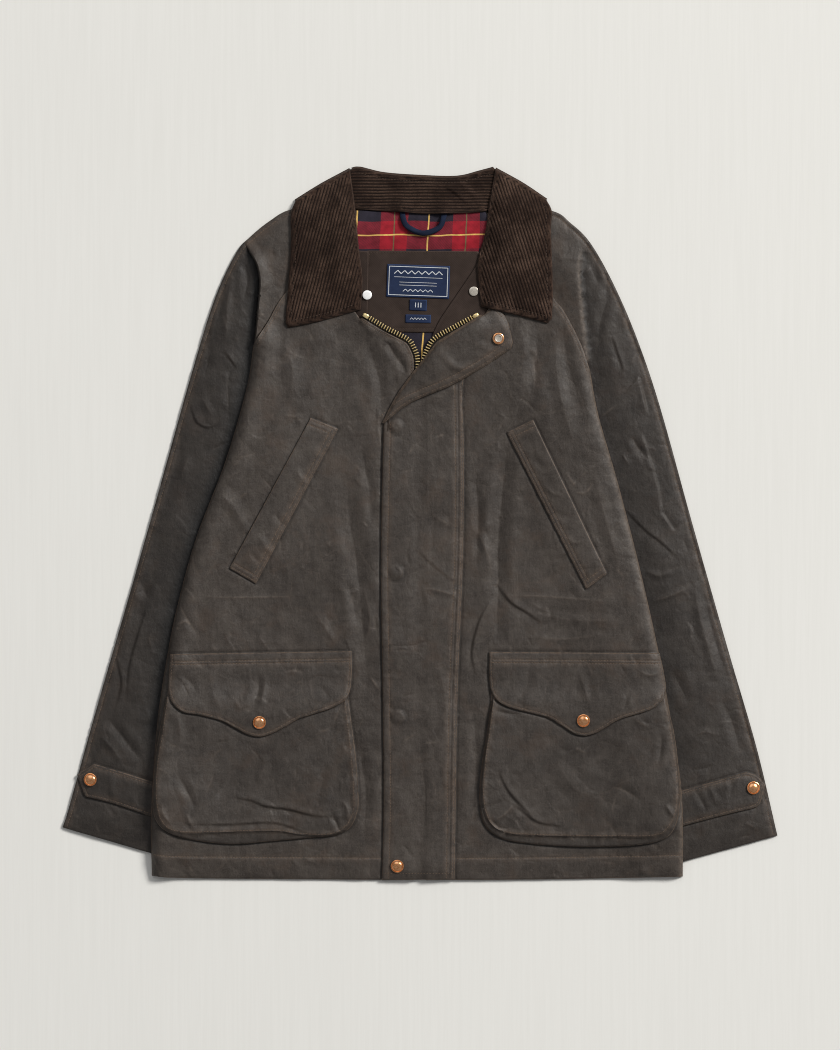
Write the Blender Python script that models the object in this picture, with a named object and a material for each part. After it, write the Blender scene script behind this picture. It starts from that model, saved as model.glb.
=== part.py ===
"""A waxed cotton jacket, laid flat on its back with the zip closed and the neck open.

The jacket is built as it lies: each piece of cloth is a layer with its own outline, and the layers are
laid one after another, so that each one rests on whatever is already there. Plan sizes are in
millimetres, X to the wearer's left, Y towards the collar, Z up out of the front. Every piece becomes one
closed solid, and a layer that is turned over along a fold is one solid with the layer it belongs to.
"""

import math

import bmesh
import bpy
import numpy as np
from mathutils import Vector
from mathutils.geometry import delaunay_2d_cdt

MM = 0.001  # metres in a millimetre

# Cloth and hardware sizes, mm
CLOTH = 1.3  # one layer of waxed cotton
DOUBLE_CLOTH = 2.2  # two layers sewn together: flaps, tabs, welts and the storm flap
CORDUROY = 2.6  # the collar, faced on both sides
LINING = 1.0
TAPE = 1.4
GAP = 0.3  # clear space between pieces that touch
SEAM_LAP = 9.0  # how far one panel runs under the next at a seam
SIDE_TUCK = 2.5  # how far the back stays inside the front's folded side
FOLD_BULGE = 1.6  # how far a fold stands out past its fold line
HEM_Y = -391.0  # bottom of the jacket
CHAIN_HALF = 3.0  # half the width of the closed zip chain
ZIP_TAPE_WIDTH = 15.0
SLIDER_Y = 168.0  # where the zip's slider stands, under the storm flap
LOOP_RADIUS = 3.0
SNAP_RADIUS = 7.3
SNAP_HEIGHT = 3.4
NECK_SNAP_RADIUS = 5.2
NECK_SNAP_HEIGHT = 2.2

# Net sizes, mm
BODY_NET = 27.0
SLEEVE_NET = 29.0
COLLAR_NET = 17.0
POCKET_NET = 22.0
SMALL_NET = 14.0

# How far each layer stands off what it lies on in its middle, mm
SLEEVE_LOFT = 3.5
FRONT_LOFT = 3.4
COLLAR_LOFT = 3.4
FLAP_LOFT = 1.6

# A pocket's bellows: the gusset folded flat under the rim of the bag, mm
GUSSET_STACK = 3.3
GUSSET_WIDTH = 15.0

# Outlines: each row is a point (x, y) that the edge passes through, mm
SIDE_RIGHT = [(-183, 197), (-191, 148), (-214, 69), (-246, -15), (-267, -91), (-278, -146), (-289, -221),
              (-295, -316), (-295, -386)]
SIDE_LEFT = [(187, 168), (196, 120), (217, 47), (238, -34), (257, -116), (269, -177), (283, -259),
             (288, -309), (289, -387)]
RAGLAN_RIGHT = [(-88, 322), (-118, 288), (-151, 250), (-167, 222), (-183, 197)]
RAGLAN_LEFT = [(90, 322), (118, 290), (146, 250), (159, 233), (176, 200), (187, 168)]
OVERARM_RIGHT = [(-82, 355), (-140, 347), (-165, 334), (-187, 316), (-202, 299), (-225, 250), (-250, 170),
                 (-290, 27), (-318, -72), (-357, -207), (-386, -311), (-393, -333)]
OVERARM_LEFT = [(84, 356), (145, 345), (165, 332), (187, 310), (212, 266), (238, 206), (264, 129), (300, -1),
                (338, -135), (370, -245), (393, -342)]
CUFF_RIGHT = [(-393, -333), (-297, -361), (-250, -375)]
CUFF_LEFT = [(393, -342), (291, -370), (242, -384)]
UNDERARM_RIGHT = [(-250, -375), (-232, -250), (-192, -100), (-147, 30), (-114, 150)]
UNDERARM_LEFT = [(242, -384), (228, -250), (188, -100), (145, 30), (114, 150)]
BACK_RAGLAN = [(114, 150), (104, 230), (82, 322)]  # the same on both sides, mirrored
NECK_RIGHT = [(-66, 226), (-76, 245), (-82, 290), (-88, 322)]  # front neckline, under the collar
NECK_LEFT = [(68, 226), (78, 245), (84, 290), (90, 322)]
BACK_NECK = [(72, 346), (0, 339), (-72, 347)]
CHAIN_RIGHT = [(-61, 230), (-38, 216), (-22, 208), (-12, 202), (-7, 194), (-3, 182), (-3, 160)]
CHAIN_LEFT = [(63, 230), (33, 214), (22, 208), (14, 202), (9, 194), (4, 180), (3, 160)]

# The collar: one strip that stands at the back of the neck, rolls over and lies down on the fronts
ROLL = [(81, 392), (66, 388), (40, 382), (0, 383), (-40, 386), (-66, 392), (-75, 391)]
STAND_SEAM = [(-69, 346), (-22, 343), (11, 341), (66, 343), (76, 347)]
TURN_RIGHT = [(-80, 388), (-108, 374), (-137, 356)]
TURN_LEFT = [(139, 357), (112, 375), (86, 389)]
FALL_EDGE = [(-137, 356), (-100, 331), (-50, 315), (0, 311), (50, 315), (100, 331), (139, 357)]
WING_RIGHT_OUTER = [(-137, 356), (-142, 340), (-142, 302), (-146, 247), (-148, 222)]
WING_RIGHT_BOTTOM = [(-145, 216), (-110, 223), (-65, 236)]
WING_RIGHT_ROLL = [(-65, 236), (-63, 269), (-67, 302), (-71, 346), (-80, 388)]
WING_LEFT_ROLL = [(86, 389), (76, 352), (71, 318), (63, 285), (67, 239)]
WING_LEFT_BOTTOM = [(67, 239), (113, 228), (140, 221)]
WING_LEFT_OUTER = [(145, 226), (146, 258), (144, 322), (145, 344), (139, 357)]

# The storm flap: sewn to the left front, its top corner turned back along a fold
FLAP_FOLD = [(68, 229), (35, 209), (17, 196), (6, 182), (-3, 171), (-20, 148), (-29, 133), (-40, 111)]
FLAP_FREE = [(-40, 111), (-43, -39), (-41, -193), (-40, -303), (-42, -391)]
FLAP_SEWN = [(38, -390), (41, -193), (47, -39), (48, 82), (47, 153), (60, 205), (68, 229)]
CORNER_EDGE = [(-40, 111), (-11, 133), (33, 152), (70, 173), (100, 193)]
CORNER_END = [(102, 200), (96, 224), (84, 238), (68, 229)]

# Pocket pieces, right then left, each as the edges that make it up
BAG_RIGHT = [[(-72, -200), (-277, -201)],
             [(-277, -201), (-287, -235), (-292, -310), (-278, -338), (-209, -351),
             (-141, -346), (-80, -336), (-68, -300), (-71, -245), (-72, -200)]]
BAG_LEFT = [[(271, -199), (73, -199)],
            [(73, -199), (69, -245), (65, -310), (84, -343), (145, -352), (234, -352),
            (276, -340), (286, -306), (284, -250), (271, -199)]]
POCKET_FLAP_RIGHT = [[(-75, -139), (-274, -142)],
                     [(-274, -142), (-275, -185), (-262, -204), (-240, -209), (-218, -215), (-203, -223),
                      (-190, -230), (-177, -233), (-164, -230), (-150, -223), (-132, -213), (-96, -201),
                      (-79, -188), (-75, -165), (-75, -139)]]
POCKET_FLAP_LEFT = [[(263, -141), (76, -140)],
                    [(76, -140), (76, -168), (80, -187), (96, -200), (137, -211), (154, -220), (168, -229),
                     (180, -232), (192, -229), (204, -222), (220, -213), (256, -201), (269, -184), (268, -165),
                     (263, -141)]]
WELT_RIGHT = [[(-120, 117), (-209, -48)], [(-209, -48), (-180, -65)], [(-180, -65), (-90, 105)],
              [(-90, 105), (-120, 117)]]
WELT_LEFT = [[(95, 101), (182, -71)], [(182, -71), (205, -54)], [(205, -54), (124, 115)],
             [(124, 115), (95, 101)]]
TAB_RIGHT = [[(-377, -277), (-372, -292), (-333, -310), (-262, -333)],
             [(-262, -333), (-262, -293), (-310, -277), (-357, -263), (-377, -277)]]
TAB_LEFT = [[(379, -287), (363, -276), (326, -282), (256, -300)],
            [(256, -300), (256, -340), (326, -321), (375, -306), (379, -287)]]

# Labels on the neck patch: centre x and y, width and height, mm, and turn, degrees
LABELS = {
    "label_main": (-2, 267, 69, 36, -2),
    "label_size": (-2, 241, 19, 12, -2),
    "label_care": (-2, 226, 28, 9, -1),
}

# Snaps: centre x and y, mm
SNAPS = {
    "snap_pocket_right": (-176, -217),
    "snap_pocket_left": (179, -215),
    "snap_cuff_right": (-362, -280),
    "snap_cuff_left": (366, -289),
    "snap_hem": (-25, -375),
    "snap_collar_corner": (86, 204),
}
NECK_SNAPS = {"snap_neck_right": (-58, 252), "snap_neck_left": (59, 256)}

# Broad troughs in the fronts: ends, how deep and how wide, mm
TROUGHS = {
    "front_left": [((92, 93), (90, -138), 2.2, 22)],
    "front_right": [((-80, 20), (-62, -185), 2.0, 22)],
}

# Colours are linear RGB, with roughness and metallic
WAXED = ((0.070, 0.058, 0.048), 0.55, 0.0)
WAXED_SLEEVE = ((0.055, 0.046, 0.038), 0.55, 0.0)
CORD_BROWN = ((0.030, 0.015, 0.010), 0.9, 0.0)
TARTAN = ((0.180, 0.016, 0.028), 0.8, 0.0)
TWILL = ((0.042, 0.025, 0.018), 0.8, 0.0)
NAVY = ((0.012, 0.030, 0.090), 0.7, 0.0)
TAPE_BROWN = ((0.020, 0.015, 0.012), 0.8, 0.0)
BRASS = ((0.600, 0.420, 0.170), 0.35, 1.0)
COPPER = ((0.600, 0.230, 0.100), 0.30, 1.0)
NICKEL = ((0.620, 0.560, 0.500), 0.30, 1.0)


def clear_scene():
    for obj in list(bpy.data.objects):
        bpy.data.objects.remove(obj)


# ---- outlines ----

def through(points, step):
    """A smooth curve through the points, given as points about a step apart."""
    knots = np.array(points, float)
    if len(knots) == 2:
        count = max(1, round(float(np.linalg.norm(knots[1] - knots[0])) / step))
        return [tuple(knots[0] + (knots[1] - knots[0]) * i / count) for i in range(count + 1)]
    ends = np.vstack([2 * knots[0] - knots[1], knots, 2 * knots[-1] - knots[-2]])
    out = [tuple(knots[0])]
    for before, start, end, after in zip(ends[:-3], ends[1:-2], ends[2:-1], ends[3:]):
        count = max(1, round(float(np.linalg.norm(end - start)) / step))
        for i in range(1, count + 1):
            t = i / count
            out.append(tuple(0.5 * (2 * start + (end - before) * t
                                    + (2 * before - 5 * start + 4 * end - after) * t * t
                                    + (3 * start - before - 3 * end + after) * t ** 3)))
    return out


def outline_of(edges, step):
    """One closed, anticlockwise outline from edges that follow each other."""
    points = []
    for edge in edges:
        for point in through(edge, step):
            if not points or math.dist(points[-1], point) > 0.5:
                points.append(point)
    if math.dist(points[0], points[-1]) < 0.5:
        points.pop()
    area = sum(a[0] * b[1] - b[0] * a[1] for a, b in zip(points, points[1:] + points[:1]))
    return points if area > 0 else points[::-1]


def moved(points, dx, dy=0.0):
    return [(x + dx, y + dy) for x, y in points]


def mirrored(points):
    return [(-x, y) for x, y in points]


def beside(points, distance):
    """The same line moved sideways by the distance: to its left where that is positive."""
    line = np.array(points, float)
    along = np.gradient(line, axis=0)
    across = np.stack([-along[:, 1], along[:, 0]], axis=1)
    across /= np.linalg.norm(across, axis=1, keepdims=True)
    return [tuple(point) for point in line + across * distance]


def rectangle(x, y, width, height, turn):
    c, s = math.cos(math.radians(turn)), math.sin(math.radians(turn))
    corners = [(-0.5, -0.5), (0.5, -0.5), (0.5, 0.5), (-0.5, 0.5), (-0.5, -0.5)]
    placed = [(x + c * u * width - s * v * height, y + s * u * width + c * v * height) for u, v in corners]
    return [[a, b] for a, b in zip(placed, placed[1:])]


def distance_to(points, line, closed):
    """How far each point is from the line through the given points."""
    starts = np.array(line, float)
    ends = np.roll(starts, -1, axis=0)
    if not closed:
        starts, ends = starts[:-1], ends[:-1]
    along = ends - starts
    offset = points[:, None, :] - starts[None, :, :]
    share = np.clip((offset * along).sum(2) / (along * along).sum(1), 0, 1)
    return np.linalg.norm(offset - share[:, :, None] * along, axis=2).min(axis=1)


def inside(points, outline):
    corners = np.array(outline, float)
    nexts = np.roll(corners, -1, axis=0)
    x, y = points[:, 0:1], points[:, 1:2]
    spans = (corners[:, 1] > y) != (nexts[:, 1] > y)
    rise = np.where(nexts[:, 1] == corners[:, 1], 1.0, nexts[:, 1] - corners[:, 1])
    crossing = corners[:, 0] + (y - corners[:, 1]) / rise * (nexts[:, 0] - corners[:, 0])
    return (spans & (x < crossing)).sum(axis=1) % 2 == 1


# ---- layers of cloth ----

class Layer:
    """One layer of cloth in plan: its outline, the net of triangles inside it and its faces' heights."""

    def __init__(self, edges, net, thickness, loft=0.0, rise=40.0, troughs=(), gusset=0.0):
        self.outline = outline_of(edges, net)
        corners = np.array(self.outline)
        columns = np.arange(corners[:, 0].min() + net / 2, corners[:, 0].max(), net)
        rows = np.arange(corners[:, 1].min() + net / 2, corners[:, 1].max(), net)
        grid = np.array([(x, y) for y in rows for x in columns]).reshape(-1, 2)
        keep = inside(grid, self.outline) & (distance_to(grid, self.outline, True) > 0.45 * net)
        self.points = np.vstack([corners, grid[keep]])
        count = len(self.outline)
        rim = [(i, (i + 1) % count) for i in range(count)]
        made = delaunay_2d_cdt([Vector(p) for p in self.points], rim, [], 1, 1e-6)
        if len(made[0]) != len(self.points):
            raise ValueError(f"the outline from {edges[0][0]} crosses itself")
        self.triangles = np.array([face for face in made[2]])
        depth = distance_to(self.points, self.outline, True)
        share = np.clip(depth / rise, 0, 1)
        self.lift = loft * share * (2 - share)
        for start, end, deep, wide in troughs:
            away = distance_to(self.points, [start, end], False)
            self.lift -= np.minimum(deep * np.exp(-(away / wide) ** 2), self.lift)
        folded_under = gusset * (1 - np.clip((depth - GUSSET_WIDTH) / GUSSET_WIDTH, 0, 1))
        self.thickness = thickness + folded_under
        self.lift += gusset - folded_under
        self.bottom = None

    @property
    def top(self):
        return self.bottom + self.thickness

    def index_of(self, line):
        """Where the points of this line are in the outline, in the outline's own order."""
        found = [min(range(len(self.outline)), key=lambda i: math.dist(self.outline[i], p)) for p in line]
        count = len(self.outline)
        return found if (found[1] - found[0]) % count == 1 else found[::-1]


class Pile:
    """The height of everything laid so far, on a square raster."""

    STEP = 2.0
    HALF = 420.0

    def __init__(self):
        self.count = int(2 * self.HALF / self.STEP) + 1
        self.heights = np.zeros((self.count, self.count))

    def widened(self):
        """The heights, each raised to the highest of its neighbours."""
        padded = np.pad(self.heights, 1, mode="edge")
        size = self.count
        shifts = [padded[j:j + size, i:i + size] for j in range(3) for i in range(3)]
        return np.max(shifts, axis=0)

    def cells_in(self, corners):
        """The raster cells in a triangle, and each one's share of the three corners."""
        low = np.floor((corners.min(axis=0) + self.HALF) / self.STEP).astype(int)
        high = np.ceil((corners.max(axis=0) + self.HALF) / self.STEP).astype(int)
        columns, rows = np.meshgrid(np.arange(low[0], high[0] + 1), np.arange(low[1], high[1] + 1))
        columns, rows = columns.ravel(), rows.ravel()
        spot = np.stack([columns, rows], axis=1) * self.STEP - self.HALF
        a, b, c = corners
        area = (b[0] - a[0]) * (c[1] - a[1]) - (c[0] - a[0]) * (b[1] - a[1])
        second = ((spot[:, 0] - a[0]) * (c[1] - a[1]) - (c[0] - a[0]) * (spot[:, 1] - a[1])) / area
        third = ((b[0] - a[0]) * (spot[:, 1] - a[1]) - (spot[:, 0] - a[0]) * (b[1] - a[1])) / area
        shares = np.stack([1 - second - third, second, third], axis=1)
        keep = shares.min(axis=1) > -1e-3
        return rows[keep], columns[keep], shares[keep]

    def lay(self, layer):
        """Rest the layer on the pile, as low as it goes while its triangles clear what is under it."""
        below = self.widened()
        needed = np.where(below > 0, below + GAP, 0.0)
        spots = np.floor((layer.points + self.HALF) / self.STEP).astype(int)
        around = [needed[spots[:, 1] + j, spots[:, 0] + i] for j in (0, 1) for i in (0, 1)]
        layer.bottom = np.max(around, axis=0) + layer.lift
        covers = [self.cells_in(layer.points[triangle]) for triangle in layer.triangles]
        raised = np.zeros(len(layer.points))
        for triangle, (rows, columns, shares) in zip(layer.triangles, covers):
            if len(rows):
                short = (needed[rows, columns] - shares @ layer.bottom[triangle]).max()
                raised[triangle] = np.maximum(raised[triangle], short)
        layer.bottom += raised
        for triangle, (rows, columns, shares) in zip(layer.triangles, covers):
            tops = shares @ layer.top[triangle]
            self.heights[rows, columns] = np.maximum(self.heights[rows, columns], tops)
        return layer

    def near(self, x, y, radius):
        axis = np.arange(self.count) * self.STEP - self.HALF
        return (axis[None, :] - x) ** 2 + (axis[:, None] - y) ** 2 < (radius + self.STEP) ** 2

    def highest(self, x, y, radius):
        """The highest point within the radius of a place."""
        return float(self.heights[self.near(x, y, radius)].max())


# ---- solids ----

def material(name, look):
    colour, roughness, metallic = look
    made = bpy.data.materials.new(name)
    made.use_nodes = True
    shader = made.node_tree.nodes["Principled BSDF"]
    shader.inputs["Base Color"].default_value = (*colour, 1.0)
    shader.inputs["Roughness"].default_value = roughness
    shader.inputs["Metallic"].default_value = metallic
    return made


def place(name, mesh, look, location, jacket):
    """An object with its own material, standing at the location under the jacket's empty."""
    obj = bpy.data.objects.new(name, mesh)
    if not mesh.materials:
        mesh.materials.append(material(name, look))
    obj.location = location
    obj.parent = jacket
    bpy.context.scene.collection.objects.link(obj)
    return obj


def cloth(name, look, jacket, layers, folds=()):
    """A closed solid of one or more layers. A fold joins a lower layer to a higher one along one line."""
    points, faces, starts = [], [], []
    for layer in layers:
        start = len(points)
        starts.append(start)
        count = len(layer.points)
        points += [(x, y, z) for (x, y), z in zip(layer.points, layer.bottom)]
        points += [(x, y, z) for (x, y), z in zip(layer.points, layer.top)]
        faces += [[start + i for i in reversed(triangle)] for triangle in layer.triangles]
        faces += [[start + count + i for i in triangle] for triangle in layer.triangles]
    folded = {number: set() for number in range(len(layers))}
    for lower, upper, line in folds:
        a, b = layers[lower], layers[upper]
        low, high = a.index_of(line), b.index_of(line)
        folded[lower] |= set(low[:-1])
        folded[upper] |= set(high[:-1])
        direction = np.gradient(np.array(a.points[low]), axis=0)
        outward = np.stack([direction[:, 1], -direction[:, 0]], axis=1)
        outward /= np.linalg.norm(outward, axis=1, keepdims=True)
        middle = len(points)
        for i, j, out in zip(low, high, outward):
            points.append((*(a.points[i] + out * FOLD_BULGE), (a.bottom[i] + b.top[j]) / 2))
        low_bottom = [starts[lower] + i for i in low]
        low_top = [i + len(a.points) for i in low_bottom]
        high_bottom = [starts[upper] + j for j in high]
        high_top = [j + len(b.points) for j in high_bottom]
        crest = [middle + i for i in range(len(low))]
        for i in range(len(low) - 1):
            j = i + 1
            faces.append([low_bottom[i], low_bottom[j], crest[j], crest[i]])
            faces.append([crest[i], crest[j], high_top[j], high_top[i]])
            faces.append([high_bottom[i], high_bottom[j], low_top[j], low_top[i]])
        for end, turn in ((0, 1), (-1, -1)):
            upright = [high_top[end], high_bottom[end], low_top[end], low_bottom[end]]
            faces += [[crest[end], *pair[::turn]] for pair in zip(upright, upright[1:])]
    for number, (layer, start) in enumerate(zip(layers, starts)):
        rim, count = len(layer.outline), len(layer.points)
        for i in range(rim):
            if i not in folded[number]:
                j = (i + 1) % rim
                faces.append([start + i, start + j, start + count + j, start + count + i])
    box = np.array(points)
    centre = (box.min(axis=0) + box.max(axis=0)) / 2
    centre[2] = 0.0
    mesh = bpy.data.meshes.new(name)
    mesh.from_pydata([tuple((np.array(p) - centre) * MM) for p in points], [], faces)
    mesh.shade_smooth()
    mesh.set_sharp_from_angle(angle=math.radians(40))
    return place(name, mesh, look, tuple(centre * MM), jacket)


def turned(name, profile, sides=24):
    """A mesh spun from a profile of (radius, height) points in mm that starts and ends on the axis."""
    shape = bmesh.new()
    rings = []
    for radius, height in profile[1:-1]:
        angles = [2 * math.pi * k / sides for k in range(sides)]
        rings.append([shape.verts.new((radius * math.cos(a) * MM, radius * math.sin(a) * MM, height * MM))
                      for a in angles])
    first = shape.verts.new((0, 0, profile[0][1] * MM))
    last = shape.verts.new((0, 0, profile[-1][1] * MM))
    for k in range(sides):
        n = (k + 1) % sides
        shape.faces.new([first, rings[0][n], rings[0][k]])
        shape.faces.new([last, rings[-1][k], rings[-1][n]])
        for lower, upper in zip(rings, rings[1:]):
            shape.faces.new([lower[k], lower[n], upper[n], upper[k]])
    mesh = bpy.data.meshes.new(name)
    shape.to_mesh(mesh)
    shape.free()
    mesh.shade_smooth()
    mesh.set_sharp_from_angle(angle=math.radians(35))
    return mesh


def snap_mesh(name, radius, height, look):
    """A snap cap: a flat rim with a low dome inside it."""
    lip = 0.25 * height
    dome = [(0.78 * radius * math.cos(a), lip + (height - lip) * math.sin(a))
            for a in (math.radians(d) for d in (0, 30, 60))]
    profile = [(0, 0), (0.94 * radius, 0), (radius, lip), (0.86 * radius, 1.6 * lip), *dome, (0, height)]
    mesh = turned(name, profile)
    mesh.materials.append(material(name, look))
    return mesh


def ring_snap(pile, jacket):
    """The ring of the socket snap, seen on the inside of the storm flap's turned corner."""
    x, y = SNAPS["snap_collar_corner"]
    profile = [(0, 0), (6.2, 0), (6.5, 0.9), (5.6, 1.9), (4.2, 1.9), (3.2, 0.9), (0, 0.9)]
    z = pile.highest(x, y, SNAP_RADIUS) + GAP
    ring = turned("snap_collar_corner", profile)
    place("snap_collar_corner", ring, COPPER, (x * MM, y * MM, z * MM), jacket)


def tube(name, look, path, radius, jacket):
    """A round cord through the points, with closed ends."""
    curve = bpy.data.curves.new(name, "CURVE")
    curve.dimensions = "3D"
    curve.bevel_depth = radius * MM
    curve.bevel_resolution = 2
    curve.use_fill_caps = True
    spline = curve.splines.new("POLY")
    spline.points.add(len(path) - 1)
    for point, place_mm in zip(spline.points, path):
        point.co = (*[value * MM for value in place_mm], 1.0)
    curve.materials.append(material(name, look))
    obj = bpy.data.objects.new(name, curve)
    obj.parent = jacket
    bpy.context.scene.collection.objects.link(obj)


# ---- the jacket ----

def sleeves(pile, jacket):
    """Each raglan sleeve is a back and a front piece, with a tab at the cuff."""
    sides = {
        "right": (OVERARM_RIGHT, CUFF_RIGHT, UNDERARM_RIGHT, mirrored(BACK_RAGLAN), -1, RAGLAN_RIGHT,
                  TAB_RIGHT),
        "left": (OVERARM_LEFT, CUFF_LEFT, UNDERARM_LEFT, BACK_RAGLAN, 1, RAGLAN_LEFT, TAB_LEFT),
    }
    for side, (overarm, cuff, underarm, back_raglan, sign, raglan, tab) in sides.items():
        close = [back_raglan[-1], overarm[0]]
        back = pile.lay(Layer([overarm, cuff, underarm, back_raglan, close], SLEEVE_NET, CLOTH))
        cloth(f"sleeve_{side}_back", WAXED_SLEEVE, jacket, [back])
        lap = moved(raglan, -sign * SEAM_LAP)[::-1]
        edges = [overarm, cuff, underarm, [underarm[-1], lap[0]], lap, [lap[-1], overarm[0]]]
        front = Layer(edges, SLEEVE_NET, CLOTH, SLEEVE_LOFT)
        cloth(f"sleeve_{side}_front", WAXED_SLEEVE, jacket, [pile.lay(front)])
        tab_layer = pile.lay(Layer(tab, SMALL_NET, DOUBLE_CLOTH, 0.6, 12))
        cloth(f"cuff_tab_{side}", WAXED_SLEEVE, jacket, [tab_layer])


def back(pile, jacket):
    side_left = moved(SIDE_LEFT, -SIDE_TUCK)[::-1]
    side_right = moved(SIDE_RIGHT, SIDE_TUCK)
    raglan = moved(BACK_RAGLAN, SEAM_LAP)
    hem = [side_right[-1], (0, HEM_Y + 1), side_left[0]]
    edges = [hem, side_left, [side_left[-1], raglan[0]], raglan, [raglan[-1], BACK_NECK[0]], BACK_NECK,
             [BACK_NECK[-1], mirrored(raglan)[-1]], mirrored(raglan)[::-1],
             [mirrored(raglan)[0], side_right[0]],
             side_right]
    cloth("back", WAXED, jacket, [pile.lay(Layer(edges, BODY_NET, CLOTH))])


def neck_inside(pile, jacket):
    """What shows inside the open neck: the tartan lining, the patch, its labels and the hanger loop."""
    lining = [[(-72, 345), (72, 344)],
              [(72, 344), (84, 300), (66, 212), (6, 158), (-56, 212), (-84, 300), (-72, 345)]]
    cloth("lining_back", TARTAN, jacket, [pile.lay(Layer(lining, COLLAR_NET, LINING))])
    patch = [[(-58, 301), (-59, 213)], [(-59, 213), (0, 211), (60, 213)], [(60, 213), (60, 300)],
             [(60, 300), (-58, 301)]]
    cloth("neck_patch", TWILL, jacket, [pile.lay(Layer(patch, COLLAR_NET, LINING))])
    for name, sizes in LABELS.items():
        cloth(name, NAVY, jacket, [pile.lay(Layer(rectangle(*sizes), SMALL_NET, LINING))])
    z = pile.highest(3, 330, 26) + LOOP_RADIUS + GAP
    path = [(x, y, z) for x, y in through([(-20, 336), (-14, 327), (3, 320), (20, 325), (27, 335)], 5.0)]
    tube("hanger_loop", NAVY, path, LOOP_RADIUS, jacket)


def front_edges(pile, jacket):
    """The facings beside the open neck, the two zip tapes and the slider that holds them together."""
    facing_left = [[(63, 286), (40, 252), (19, 220), (6, 186)], [(6, 186), (22, 180), (78, 222)],
                   [(78, 222), (86, 286)], [(86, 286), (63, 286)]]
    cloth("facing_left", TWILL, jacket, [pile.lay(Layer(facing_left, COLLAR_NET, CLOTH))])
    facing_right = [[(-80, 290), (-76, 226)], [(-76, 226), (-60, 218)], [(-60, 218), (-50, 262), (-54, 292)],
                    [(-54, 292), (-80, 290)]]
    cloth("facing_right", TWILL, jacket, [pile.lay(Layer(facing_right, COLLAR_NET, CLOTH))])
    for side, chain, sign in (("right", CHAIN_RIGHT, -1), ("left", CHAIN_LEFT, 1)):
        line = chain[:-1] + [(sign * CHAIN_HALF, 150), (sign * CHAIN_HALF, HEM_Y + 8)]
        inner = beside(line, -sign * (CHAIN_HALF - GAP))
        outer = beside(line, sign * (ZIP_TAPE_WIDTH - CHAIN_HALF))
        band = [inner[:-1], inner[-2:], [inner[-1], outer[-1]], outer[-2:][::-1], outer[-2::-1],
                [outer[0], inner[0]]]
        cloth(f"zip_tape_{side}", TAPE_BROWN, jacket, [pile.lay(Layer(band, COLLAR_NET, TAPE))])
    slider = [[(-4, SLIDER_Y + 5), (-5, SLIDER_Y - 6)], [(-5, SLIDER_Y - 6), (5, SLIDER_Y - 6)],
              [(5, SLIDER_Y - 6), (4, SLIDER_Y + 5)], [(4, SLIDER_Y + 5), (-4, SLIDER_Y + 5)]]
    cloth("zip_slider", BRASS, jacket, [pile.lay(Layer(slider, SMALL_NET, 3.0))])


def fronts(pile, jacket):
    """The two front panels, each cut back along the zip's chain."""
    line_right = beside(CHAIN_RIGHT, -CHAIN_HALF - 1)
    right = [[SIDE_RIGHT[-1], (-242, -389), (-CHAIN_HALF - 4, HEM_Y)],
             [(-CHAIN_HALF - 4, HEM_Y), line_right[-1]],
             line_right[::-1], [line_right[0], NECK_RIGHT[0]], NECK_RIGHT, RAGLAN_RIGHT, SIDE_RIGHT]
    cloth("front_right", WAXED, jacket,
          [pile.lay(Layer(right, BODY_NET, CLOTH, FRONT_LOFT, troughs=TROUGHS["front_right"]))])
    line_left = beside(CHAIN_LEFT, CHAIN_HALF + 1)
    left = [[(CHAIN_HALF + 4, HEM_Y), (154, -390), SIDE_LEFT[-1]], SIDE_LEFT[::-1], RAGLAN_LEFT[::-1],
            NECK_LEFT[::-1], [NECK_LEFT[0], line_left[0]], line_left,
            [line_left[-1], (CHAIN_HALF + 4, HEM_Y)]]
    cloth("front_left", WAXED, jacket,
          [pile.lay(Layer(left, BODY_NET, CLOTH, FRONT_LOFT, troughs=TROUGHS["front_left"]))])


def on_the_fronts(pile, jacket):
    """Storm flap, chest welts, bellows pockets and their flaps, all sewn on the fronts."""
    main = Layer([[FLAP_FREE[-1], FLAP_SEWN[0]], FLAP_SEWN, FLAP_FOLD, FLAP_FREE], COLLAR_NET, DOUBLE_CLOTH,
                 0.8, 20)
    pile.lay(main)
    for side, welt in (("right", WELT_RIGHT), ("left", WELT_LEFT)):
        cloth(f"welt_{side}", WAXED, jacket, [pile.lay(Layer(welt, POCKET_NET, DOUBLE_CLOTH, 0.8, 12))])
    for side, bag, flap in (("right", BAG_RIGHT, POCKET_FLAP_RIGHT), ("left", BAG_LEFT, POCKET_FLAP_LEFT)):
        cloth(f"pocket_{side}", WAXED, jacket, [pile.lay(Layer(bag, POCKET_NET, CLOTH, gusset=GUSSET_STACK))])
        cover = pile.lay(Layer(flap, POCKET_NET, DOUBLE_CLOTH, FLAP_LOFT, 20))
        cloth(f"pocket_flap_{side}", WAXED, jacket, [cover])
    corner = pile.lay(Layer([FLAP_FOLD, CORNER_EDGE, CORNER_END], COLLAR_NET, DOUBLE_CLOTH, FLAP_LOFT, 20))
    cloth("storm_flap", WAXED, jacket, [main, corner], [(0, 1, through(FLAP_FOLD, COLLAR_NET))])


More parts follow.
